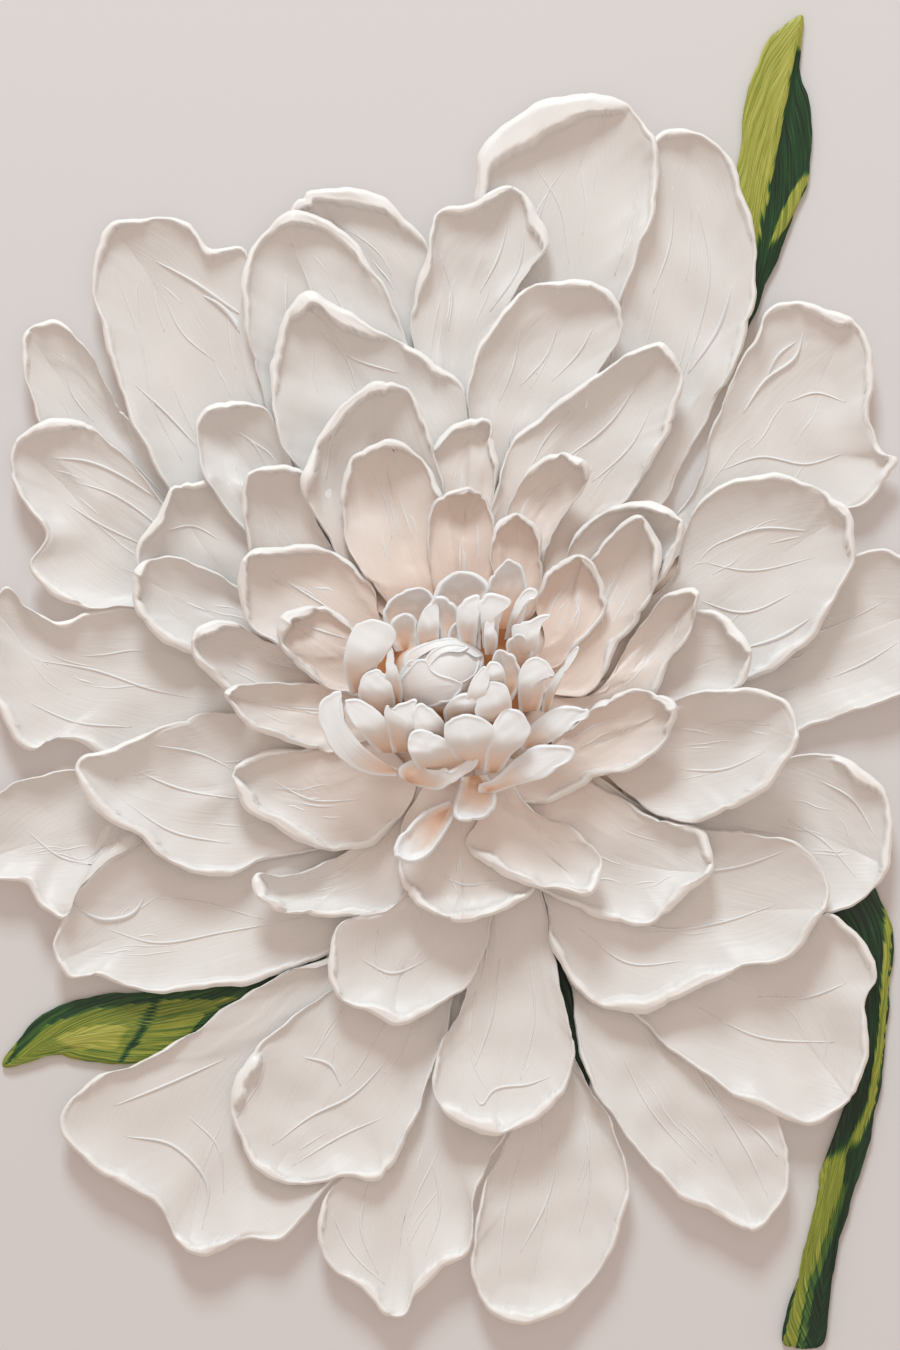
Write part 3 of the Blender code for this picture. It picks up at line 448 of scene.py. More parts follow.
# Creases that the knife left standing: points on the drawing, then width and height in mm.
creases = (
    (((45, 456), (85, 460), (125, 478), (155, 498)), 2.2, 1.3),
    (((70, 480), (108, 492), (150, 520), (172, 540)), 1.8, 1.0),
    (((60, 500), (95, 522), (150, 548)), 1.6, 0.9),
    (((150, 256), (190, 278), (222, 300), (240, 312)), 3.0, 1.8),
    (((200, 292), (215, 300), (232, 318), (238, 330)), 4.0, 2.2),
    (((130, 380), (165, 412), (196, 446)), 2.2, 1.3),
    (((110, 262), (135, 330), (150, 400), (180, 460)), 1.6, 0.8),
    (((160, 290), (180, 330), (215, 360)), 1.6, 0.8),
    (((290, 240), (310, 290), (312, 350)), 1.6, 0.7),
    (((300, 300), (330, 330), (352, 372), (358, 405)), 1.8, 0.9),
    (((318, 330), (352, 356), (400, 372)), 1.8, 0.9),
    (((440, 250), (452, 290), (448, 330)), 1.6, 0.9),
    (((510, 210), (500, 250), (480, 290)), 2.0, 1.1),
    (((525, 225), (520, 260), (490, 310)), 2.6, 1.5),
    (((535, 160), (560, 200), (570, 260)), 1.4, 0.6),
    (((640, 180), (630, 230), (615, 275)), 1.6, 0.8),
    (((700, 200), (712, 260), (700, 330), (680, 385)), 2.0, 1.0),
    (((735, 280), (722, 322), (690, 372)), 3.2, 1.6),
    (((675, 180), (672, 240), (655, 290)), 1.8, 0.8),
    (((745, 412), (768, 378), (800, 352), (806, 330)), 3.0, 1.8),
    (((768, 378), (782, 352), (800, 338)), 2.4, 1.4),
    (((790, 400), (820, 390), (850, 400)), 1.6, 0.8),
    (((720, 470), (762, 455), (812, 462), (850, 450)), 1.8, 0.9),
    (((560, 320), (548, 352), (520, 385)), 1.8, 0.9),
    (((598, 318), (580, 350), (552, 380)), 1.6, 0.8),
    (((520, 330), (515, 360), (500, 400)), 1.6, 0.7),
    (((640, 380), (612, 420), (560, 462)), 2.0, 1.0),
    (((655, 400), (632, 444), (592, 482)), 1.8, 0.9),
    (((570, 410), (545, 440), (530, 470)), 1.4, 0.7),
    (((350, 410), (332, 440), (326, 480)), 1.8, 0.9),
    (((380, 410), (392, 450), (410, 480)), 1.4, 0.7),
    (((370, 470), (385, 500), (392, 540)), 1.4, 0.7),
    (((715, 545), (760, 528), (812, 530)), 1.8, 1.0),
    (((700, 600), (745, 612), (800, 590)), 1.8, 0.9),
    (((740, 650), (785, 635), (812, 618)), 2.6, 1.4),
    (((700, 560), (750, 570), (820, 556)), 1.4, 0.7),
    (((790, 640), (840, 625), (890, 600)), 1.6, 0.8),
    (((830, 680), (870, 662), (905, 640)), 1.6, 0.8),
    (((700, 730), (735, 722), (770, 725)), 1.6, 0.8),
    (((680, 770), (722, 770), (765, 752)), 1.8, 0.9),
    (((820, 780), (855, 800), (880, 840)), 1.8, 1.0),
    (((790, 820), (830, 845), (860, 880)), 1.6, 0.8),
    (((620, 850), (680, 872), (740, 868), (790, 850)), 1.8, 0.9),
    (((600, 900), (660, 930), (720, 925), (780, 905)), 2.0, 1.1),
    (((580, 930), (630, 965), (690, 962)), 1.6, 0.8),
    (((700, 1010), (760, 1040), (840, 1046)), 1.6, 0.8),
    (((760, 1000), (812, 1000), (850, 985)), 1.8, 1.0),
    (((690, 1060), (722, 1110), (752, 1160), (770, 1200)), 2.0, 1.1),
    (((620, 1050), (650, 1110), (700, 1170)), 1.6, 0.8),
    (((740, 1120), (765, 1140), (780, 1160)), 2.4, 1.3),
    (((500, 960), (492, 1020), (475, 1070)), 1.8, 0.9),
    (((530, 960), (535, 1020), (520, 1085)), 1.6, 0.8),
    (((470, 1090), (482, 1106), (492, 1094), (530, 1086), (552, 1078)), 2.2, 1.3),
    (((560, 1140), (550, 1200), (520, 1260)), 1.8, 0.9),
    (((585, 1120), (592, 1180), (580, 1240)), 1.6, 0.8),
    (((525, 1150), (505, 1220), (500, 1280)), 1.6, 0.7),
    (((370, 1180), (360, 1230), (378, 1280)), 2.0, 1.1),
    (((430, 1160), (440, 1210), (425, 1262)), 1.8, 0.9),
    (((330, 1215), (350, 1255), (385, 1290)), 1.6, 0.8),
    (((270, 1150), (310, 1120), (350, 1100), (390, 1060)), 2.0, 1.1),
    (((300, 1060), (330, 1070), (340, 1090)), 2.6, 1.4),
    (((290, 1170), (340, 1140), (385, 1120)), 1.6, 0.8),
    (((110, 1110), (160, 1090), (225, 1062)), 2.0, 1.0),
    (((120, 1140), (170, 1150), (205, 1190), (200, 1235)), 2.4, 1.4),
    (((185, 1120), (215, 1150), (222, 1200)), 1.8, 0.9),
    (((240, 1030), (262, 1060), (230, 1130)), 1.6, 0.8),
    (((100, 930), (150, 945), (220, 935), (300, 920)), 1.8, 0.9),
    (((150, 900), (200, 905), (262, 922)), 1.6, 0.8),
    (((68, 905), (100, 922), (132, 914), (142, 898)), 3.2, 1.8),
    (((20, 830), (60, 860), (110, 866)), 1.8, 0.9),
    (((30, 660), (90, 670), (150, 690), (200, 700)), 1.8, 0.9),
    (((20, 700), (70, 722), (130, 728)), 1.8, 0.9),
    (((130, 770), (180, 790), (240, 800)), 1.8, 0.9),
    (((120, 800), (170, 832), (230, 845)), 1.8, 1.0),
    (((150, 745), (200, 755), (240, 775)), 1.4, 0.7),
    (((270, 780), (310, 800), (360, 800)), 1.6, 0.8),
    (((280, 660), (262, 650), (232, 645)), 1.4, 0.7),
    (((270, 570), (300, 590), (345, 618)), 1.6, 0.8),
    (((262, 590), (300, 622), (350, 640)), 1.4, 0.7),
    (((165, 530), (190, 525), (220, 540)), 1.6, 0.8),
    (((225, 425), (250, 440), (268, 470)), 1.6, 0.8),
    (((60, 350), (68, 390), (90, 420)), 1.6, 0.8),
    (((360, 960), (390, 975), (430, 960)), 1.8, 1.0),
    (((430, 870), (465, 885), (500, 880)), 1.6, 0.9),
    (((620, 560), (605, 600), (600, 640)), 1.2, 0.6),
    (((575, 580), (580, 610), (572, 640)), 1.2, 0.6),
)

coreForm = {"radius": 0.180, "thickness": 0.006, "domeRadius": 0.130, "domeHeight": 0.022}


class Laid:
    # how far everything laid so far stands off the wall, and which petal ends up in front
    def __init__(self, outlines, step=0.0015, gap=0.0004):
        self.step = step
        self.gap = gap
        self.low = onWall((-90, 1410))
        self.size = ((onWall((1010, -60)) - self.low) / step).astype(int)[::-1]
        up, across = np.meshgrid(*(np.arange(n) * step for n in self.size), indexing="ij")
        radius = np.hypot(across + self.low[0], up + self.low[1])
        dome = np.sqrt(np.clip(1 - (radius / coreForm["domeRadius"]) ** 2, 0, 1))
        self.heights = np.where(radius < coreForm["radius"], coreForm["thickness"], 0.0)
        self.heights += dome * coreForm["domeHeight"]
        places = np.stack([across + self.low[0], up + self.low[1]], axis=2)
        self.front = np.full(self.size, -1)
        for order, outline in enumerate(outlines):
            self.front[inside(places, smoothCurve([onWall(point) for point in outline], 4))] = order

    def seen(self, plan, order, margin=3):
        # 1 where this petal stays in sight, falling to 0 a little way under the ones in front
        near = np.pad(self.front <= order, margin, mode="edge")
        near = np.max([near[step:step + self.size[0]] for step in range(2 * margin + 1)], axis=0)
        near = np.max([near[:, step:step + self.size[1]] for step in range(2 * margin + 1)], axis=0)
        return smoothed(near[self.cells(plan)].astype(float), 8)

    def cells(self, plan):
        spot = np.rint((plan - self.low) / self.step).astype(int)
        return np.clip(spot[..., 1], 0, self.size[0] - 1), np.clip(spot[..., 0], 0, self.size[1] - 1)

    def spread(self):
        wide = np.pad(self.heights, 1, mode="edge")
        rows, columns = self.size
        return np.max([wide[r:r + rows, c:c + columns] for r in range(3) for c in range(3)], axis=0)

    def drape(self, plan, wanted, passes=160):
        # the wanted heights, lifted like a cloth wherever something is laid under them
        short = np.maximum(self.spread()[self.cells(plan)] + self.gap - wanted, 0)
        raised = short
        for _ in range(passes):
            raised = np.maximum(smoothed(raised, 1), short)
        return wanted + raised

    def lay(self, plan, top):
        for _ in range(2):
            plan = (np.repeat(plan, 2, 0)[:-1] + np.repeat(plan, 2, 0)[1:]) / 2
            top = (np.repeat(top, 2, 0)[:-1] + np.repeat(top, 2, 0)[1:]) / 2
            plan, top = plan.swapaxes(0, 1), top.T
        np.maximum.at(self.heights, self.cells(plan), top)


def inside(places, corners):
    # which places lie inside a polygon
    found = np.zeros(places.shape[:-1], bool)
    for (x0, z0), (x1, z1) in zip(corners, np.roll(corners, -1, axis=0)):
        spans = (places[..., 1] < z0) != (places[..., 1] < z1)
        edge = x0 + (places[..., 1] - z0) * (x1 - x0) / (z1 - z0 + 1e-12)
        found ^= spans & (places[..., 0] < edge)
    return found


def smoothed(values, times):
    # each value eased towards its neighbours, along and across the net
    for _ in range(times):
        padded = np.pad(values, 1, mode="edge")
        values = (padded[1:-1, 1:-1] * 4 + padded[:-2, 1:-1] + padded[2:, 1:-1]
                  + padded[1:-1, :-2] + padded[1:-1, 2:]) / 8
    return values


def torn(line, size, random):
    # the outline with small uneven tears, none of them at the root
    run = np.concatenate([[0], np.cumsum(np.linalg.norm(np.diff(line, axis=0), axis=1))])
    ahead = np.gradient(line, axis=0)
    outward = np.stack([-ahead[:, 1], ahead[:, 0]], axis=1) / np.linalg.norm(ahead, axis=1)[:, None]
    ragged = sum(
        np.sin(run / length * math.tau + random.uniform(0, math.tau)) * share
        for length, share in ((0.047, 1.0), (0.029, 0.7), (0.013, 0.3)))
    for _ in range(4):
        where = random.uniform(0.15, 0.85) * run[-1]
        ragged -= random.uniform(0.5, 2.5) * np.exp(-((run - where) / random.uniform(0.001, 0.003)) ** 2)
    fade = np.clip(np.minimum(run, run[-1] - run) / 0.03, 0, 1)
    side = np.sign(((line - line.mean(axis=0)) * outward).sum(axis=1).mean())
    return line + outward * side * (ragged * size * fade)[:, None]


def netOf(line, stations, halfLines, crowding, spineShare):
    # a sheet seen from the front: its edges, its spine, and the net of places between them
    root = (line[0] + line[-1]) / 2
    tip = int(np.argmax(np.linalg.norm(line - root, axis=1)))
    left = spaced(line[:tip + 1], stations, crowding)
    right = spaced(line[tip:][::-1], stations, crowding)
    grid = np.linspace(0, 1, stations + 1)
    middle = (left + right) / 2
    for _ in range(300):
        middle[1:-1] = (middle[:-2] + 2 * middle[1:-1] + middle[2:]) / 4
    spine = np.stack([np.interp(grid * spineShare, grid, middle[:, axis]) for axis in (0, 1)], axis=1)
    ease = np.linspace(0, 1, halfLines + 1) ** 1.5
    plan = np.concatenate([
        left[:, None] + (spine - left)[:, None] * ease[None, :, None],
        (right[:, None] + (spine - right)[:, None] * ease[None, :, None])[:, -2::-1]], axis=1)
    inward = np.concatenate([ease, ease[-2::-1]])[None, :]
    reach = [np.linalg.norm(edge - spine, axis=1)[:, None] for edge in (left, right)]
    depths = np.concatenate([reach[0] * ease, (reach[1] * ease)[:, -2::-1]], axis=1)
    across = np.concatenate([ease - 1, (1 - ease)[-2::-1]])[None, :]
    along = grid[:, None] * (1 - inward * (1 - spineShare))
    length = np.concatenate([[0], np.cumsum(np.linalg.norm(np.diff(spine, axis=0), axis=1))])
    sideways = across * np.concatenate([np.repeat(reach[0], halfLines + 1, 1),
                                        np.repeat(reach[1], halfLines, 1)], axis=1)
    uv = np.stack([sideways, np.repeat(length[:, None], plan.shape[1], 1)], axis=2)
    return {"left": left, "right": right, "spine": spine, "ease": ease, "plan": plan,
            "inward": inward, "depths": depths, "across": across, "along": along,
            "share": grid[:, None], "uv": uv, "middle": halfLines}


def tubeMesh(name, rings, uv, values, valueName, pointed=False):
    # a closed skin over rings of points: a grid primitive wrapped round, zipped and capped
    count, lines = rings.shape[:2]
    bpy.ops.object.select_all(action="DESELECT")
    bpy.ops.mesh.primitive_grid_add(x_subdivisions=lines - 1, y_subdivisions=count - 1, size=1)
    piece = bpy.context.object
    piece.name = name
    mesh = piece.data
    mesh.name = name
    flat = np.zeros(len(mesh.vertices) * 3)
    mesh.vertices.foreach_get("co", flat)
    flat = flat.reshape(-1, 3)
    column = np.rint((flat[:, 0] + 0.5) * (lines - 1)).astype(int)
    row = np.rint((flat[:, 1] + 0.5) * (count - 1)).astype(int)
    mesh.vertices.foreach_set("co", rings[row, column].ravel())
    attribute = mesh.attributes.new(valueName, "FLOAT", "POINT")
    attribute.data.foreach_set("value", values[row, column].ravel())
    corners = np.zeros(len(mesh.loops), int)
    mesh.loops.foreach_get("vertex_index", corners)
    mesh.uv_layers[0].name = "alongPetal"
    mesh.uv_layers["alongPetal"].data.foreach_set("uv", uv[row[corners], column[corners]].ravel())
    bpy.ops.object.mode_set(mode="EDIT")
    bpy.ops.mesh.select_all(action="SELECT")
    bpy.ops.mesh.remove_doubles(threshold=1e-6)
    if not pointed:
        bpy.ops.mesh.select_all(action="DESELECT")
        bpy.ops.mesh.select_non_manifold(extend=False, use_wire=False, use_boundary=True,
                                         use_multi_face=False, use_non_contiguous=False, use_verts=False)
        bpy.ops.mesh.fill(use_beauty=False)
        bpy.ops.mesh.select_all(action="SELECT")
    bpy.ops.mesh.normals_make_consistent(inside=False)
    bpy.ops.object.mode_set(mode="OBJECT")
    bpy.ops.object.shade_smooth()
    return piece


def placed(flat, heights):
    return np.stack([flat[:, 0], -heights, flat[:, 1]], axis=1)


def sheetPiece(name, net, back, top, value, valueName, look):
    # one closed sheet between two heights over the net, with a rounded rim
    top = top.copy()
    half = net["middle"]
    top[-1, half + 1:] = top[-1, half - 1::-1]
    columns = []
    sides = ((net["left"], back[:, :half + 1], top[:, 0]), (net["right"], back[:, :half - 1:-1], top[:, -1]))
    for edge, low, high in sides:
        line = []
        for part in (1.0,) + petalForm["backShares"][::-1] + (0.0,):
            heights = np.array([np.interp(part, net["ease"], row) for row in low])
            line.append(placed(edge + (net["spine"] - edge) * part, heights))
        outer = (edge - net["spine"]) / np.linalg.norm(edge - net["spine"], axis=1)[:, None]
        bulge = (high - low[:, 0]) / 2
        for angle in petalForm["rimAngles"]:
            turn = math.radians(angle)
            out = np.minimum(bulge, 0.0014) * 0.9 * math.cos(turn)
            line.append(placed(edge + outer * out[:, None], low[:, 0] + bulge * (1 + math.sin(turn))))
        columns.append(line)
    front = [placed(net["plan"][:, line], top[:, line]) for line in range(net["plan"].shape[1])]
    rings = np.stack(columns[0] + front + columns[1][::-1], axis=1)
    below = len(columns[0])

    def widened(field):
        return np.concatenate([np.repeat(field[:, :1], below, 1), field,
                               np.repeat(field[:, -1:], below, 1)], axis=1)

    piece = tubeMesh(name, rings, widened(net["uv"]), widened(value), valueName)
    coat(piece, look)
    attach(piece, "root")
    return piece


def lipOf(random, stations, form):
    # width and height of the lip at each place round the outline
    place = np.linspace(0, 1, 2 * stations + 1)
    ripple = sum(np.sin(place * math.tau * cycles + random.uniform(0, math.tau)) * size
                 for cycles, size in ((2, 0.5), (3, 0.4), (7, 0.3), (12, 0.15)))
    ripple += 0.9 * np.sin(place * math.pi) - 0.7
    width = form["lipWidth"] * np.clip(1 + 0.9 * ripple, 0.4, 3.2)
    height = form["lipHeight"] * np.clip(0.9 + 0.8 * ripple, 0.08, 2.2)
    fade = np.clip(np.minimum(place, 1 - place) / 0.12, 0, 1)
    return width, height * fade


def foldOf(spec, net, random):
    # paste turned over the edge between two places on it: a crescent with a sharp inner side
    start, end, width, height = spec
    rim = np.concatenate([net["left"], net["right"][-2::-1]])
    first, last = sorted(int(np.argmin(np.linalg.norm(rim - onWall(spot), axis=1))) for spot in (start, end))
    last = max(last, first + 4)
    place = (np.arange(len(rim)) - first) / (last - first)
    uneven = 0.85 + 0.15 * np.sin(place * 11 + random.uniform(0, 6))
    waist = np.sqrt(np.clip(4 * place * (1 - place), 0, 1)) * uneven
    wide = overNet(width / 1000 * waist, net)
    inwards = net["depths"] / np.maximum(wide, 1e-5)
    edge = np.clip(inwards / 0.25, 0, 1)
    drop = np.clip((1.05 - inwards) / 0.16, 0, 1)
    body = (0.5 + 0.5 * np.sin(edge * math.pi / 2)) * (0.85 + 0.15 * np.clip(inwards, 0, 1))
    body *= drop * drop * (3 - 2 * drop)
    shown = np.where(wide > 2e-4, overNet(np.minimum(waist * 1.5, 1), net), 0)
    return body * height / 1000 * shown, np.where(inwards < 0.25, 1, drop * drop * (3 - 2 * drop)) * shown


# Ridges of paste: section as shares of width and height, then the short scratches that each
# petal gets by chance.
ridgeForm = {
    "section": ((0, -0.6), (-1, -0.4), (-0.5, 0.5), (-0.12, 1), (0.2, 0.8), (0.6, 0.3), (1, -0.4),
                (0, -0.6)),
    "drawnWidth": 0.00068,
    "drawnHeight": 0.0012,
    "scratches": 6,
    "scratchWidth": (0.6, 1.1),
    "scratchHeight": (0.3, 0.7),
    "scratchShare": (0.12, 0.36),
    "shortest": 0.013,
}


def onSheet(net, top, places):
    # height of a petal's front at places on it, from the four nearest points of its net
    flat = net["plan"].reshape(-1, 2)
    low, high = places.min(axis=0) - 0.006, places.max(axis=0) + 0.006
    near = ((flat > low) & (flat < high)).all(axis=1)
    distance = np.linalg.norm(places[:, None] - flat[near], axis=2)
    order = np.argsort(distance, axis=1)[:, :4]
    weights = 1 / (np.take_along_axis(distance, order, 1) + 1e-5)
    return (top.ravel()[near][order] * weights).sum(axis=1) / weights.sum(axis=1)


def ridgeOn(net, top, warm, line, width, height, lean):
    # one ridge standing on a petal, thin at both ends
    taper = np.sin(np.linspace(0, 1, len(line)) * math.pi) ** 0.7
    ahead = np.gradient(line, axis=0)
    ahead /= np.linalg.norm(ahead, axis=1)[:, None]
    aside = np.stack([-ahead[:, 1], ahead[:, 0]], axis=1) * (width * lean * taper)[:, None]
    under = [onSheet(net, top, line + aside * side) for side in (-1, 0, 1)]
    rings = []
    for across, up in ridgeForm["section"]:
        level = under[1] + (under[2] - under[1] if across > 0 else under[1] - under[0]) * across
        rings.append(placed(line + aside * across, level + up * height * taper))
    rings = np.stack(rings, axis=1)
    # ridges take only 0.6 of the sheet's warmth, so they are painted whiter: a painted highlight on the
    # raised paste
    tint = np.repeat(onSheet(net, warm, line)[:, None] * 0.6, rings.shape[1], 1)
    return tubeMesh("ridge", rings, rings[..., (0, 2)], tint, "warmth", pointed=True)


def addRidges(piece, net, top, warm, ridges, random):
    # the knife's ridges joined to their petal: the drawn ones, then short scratches
    made = []
    rim = np.concatenate([net["left"], net["right"][::-1]])
    for points, width, height in ridges:
        line = smoothCurve([onWall(point) for point in points], 8)
        kept = inside(line, rim)
        if kept.sum() > 6:
            made.append(ridgeOn(net, top, warm, line[kept], width * ridgeForm["drawnWidth"],
                                height * ridgeForm["drawnHeight"], random.choice((-1, 1))))
    rows, columns = net["plan"].shape[:2]
    for _ in range(ridgeForm["scratches"]):
        first, run = random.uniform(0.3, 0.8), random.uniform(*ridgeForm["scratchShare"])
        column, drift = random.uniform(0.3, 0.7), random.uniform(-0.06, 0.06)
        share = np.linspace(0, 1, 12)
        row = np.rint(np.clip(first + run * share, 0, 0.93) * (rows - 1)).astype(int)
        line = net["plan"][row, np.rint((column + drift * share ** 2) * (columns - 1)).astype(int)]
        kept = line[np.concatenate([[True], np.linalg.norm(np.diff(line, axis=0), axis=1) > 1e-4])][::3]
        if len(kept) < 3 or np.linalg.norm(kept[-1] - kept[0]) < ridgeForm["shortest"]:
            continue
        line = smoothCurve(kept, 5)
        made.append(ridgeOn(net, top, warm, line, random.uniform(*ridgeForm["scratchWidth"]) / 1000,
                            random.uniform(*ridgeForm["scratchHeight"]) / 1000, random.choice((-1, 1))))
    bpy.ops.object.select_all(action="DESELECT")
    for ridge in made:
        ridge.select_set(True)
    bpy.context.view_layer.objects.active = piece
    piece.select_set(True)
    bpy.ops.object.join()


def overNet(values, net):
    # values round the outline, spread over the net from each edge to the spine
    half = net["middle"]
    stations = len(net["left"]) - 1
    return np.concatenate([np.repeat(values[:stations + 1, None], half + 1, 1),
                           np.repeat(values[:stations - 1:-1, None], half, 1)], axis=1)


def crest(place):
    # paste pushed up at an edge: steep outside, crisp on top, a longer slope inwards
    outside = 0.5 + 0.5 * np.sin(np.clip(place / 0.2, 0, 1) * math.pi / 2)
    return np.where(place < 0.2, outside, np.exp(-((place - 0.2) / 0.42) ** 2))


def makePetal(ring, number, outline, order, ridges, laid, paste):
    form = petalForm
    name = f"{ring}_petal_{number:02d}"
    random = np.random.default_rng(number + {"outer": 100, "middle": 200, "inner": 300}[ring])
    stations = form[ring]["stations"]
    line = smoothCurve(rooted(outline, form[ring]["root"], form["narrowing"]), 14)
    net = netOf(torn(line, form["tear"], random), stations, form[ring]["halfLines"],
                form["tipCrowding"], form["spineShare"])
    share, along, inward, depths = (net[key] for key in ("share", "along", "inward", "depths"))
    grown = np.clip(share / 0.25, 0, 1)
    risen = np.clip((share - 0.15) / 0.5, 0, 1)
    risen = risen * risen * (3 - 2 * risen)
    seen = laid.seen(net["plan"], order)
    risen = risen * (form["hiddenCup"] + (1 - form["hiddenCup"]) * seen)
    lipWidth, lipHeight = lipOf(random, stations, form)
    width, height = overNet(lipWidth * (0.4 + 0.6 * form[ring]["lip"]), net), overNet(lipHeight, net)
    wanted = form[ring]["lift"] * along + form[ring]["cup"] * (1 - inward) ** form["cupPower"] * risen
    back = laid.drape(net["plan"], wanted)
    swell = waves(random, 5, 0.03, 0.08)(net["plan"]) * form["swell"]
    streaks = 0
    for _ in range(9):
        drift = random.uniform(-0.85, 0.85) + random.uniform(-0.25, 0.25) * share
        offset = (net["across"] - drift) / random.uniform(0.03, 0.07)
        ridge = np.where(offset < 0, np.exp(-(offset * 1.2) ** 2), np.exp(-(offset * 0.45) ** 2))
        window = np.exp(-((share - random.uniform(0.3, 0.9)) / random.uniform(0.1, 0.3)) ** 2)
        streaks = streaks + ridge * window * random.uniform(-0.6, 1.0)
    streaks = streaks * np.clip((1 - inward) / 0.15, 0, 1)
    inner = np.clip(depths / width - 0.8, 0, 1)
    sheet = form["rootThickness"] + (form["thickness"] - form["rootThickness"]) * grown
    crisp = overNet(np.clip(lipHeight / form["lipHeight"], 0.1, 1), net)
    level = crest(depths / width)
    lip = level * height * form[ring]["lip"]
    level = level * crisp
    for spec in folds.get(f"{ring}_{number:02d}", ()):
        body, shown = foldOf(spec, net, random)
        lip = np.maximum(lip, body)
        level = np.maximum(level, shown)
    edge = np.where(np.arange(back.shape[1]) <= net["middle"], back[:, :1], back[:, -1:])
    lip = lip * (0.3 + 0.7 * seen) + np.maximum(edge - back, 0) * level * form["lipLevel"]
    top = back + sheet + lip * grown
    top += np.maximum(swell + streaks * form["streakRidge"], -0.4 * sheet) * inner * grown
    laid.lay(net["plan"], top)
    # peach towards the flower's middle: partly the paste's own tint, partly painted warm shade
    radius = np.linalg.norm(net["plan"] - onWall((470, 665)), axis=2)
    warm = 0.14 + np.clip(1 - radius / 0.19, 0, 1) ** 1.3 * 0.62
    # lips and folds are painted whiter: a painted highlight along the rims
    warm = warm * (1 - 0.9 * np.clip(level * 1.3, 0, 1))
    piece = sheetPiece(name + "_paste", net, back, top, warm, "warmth", paste)
    addRidges(piece, net, top, warm, ridges, random)
    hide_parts(name)


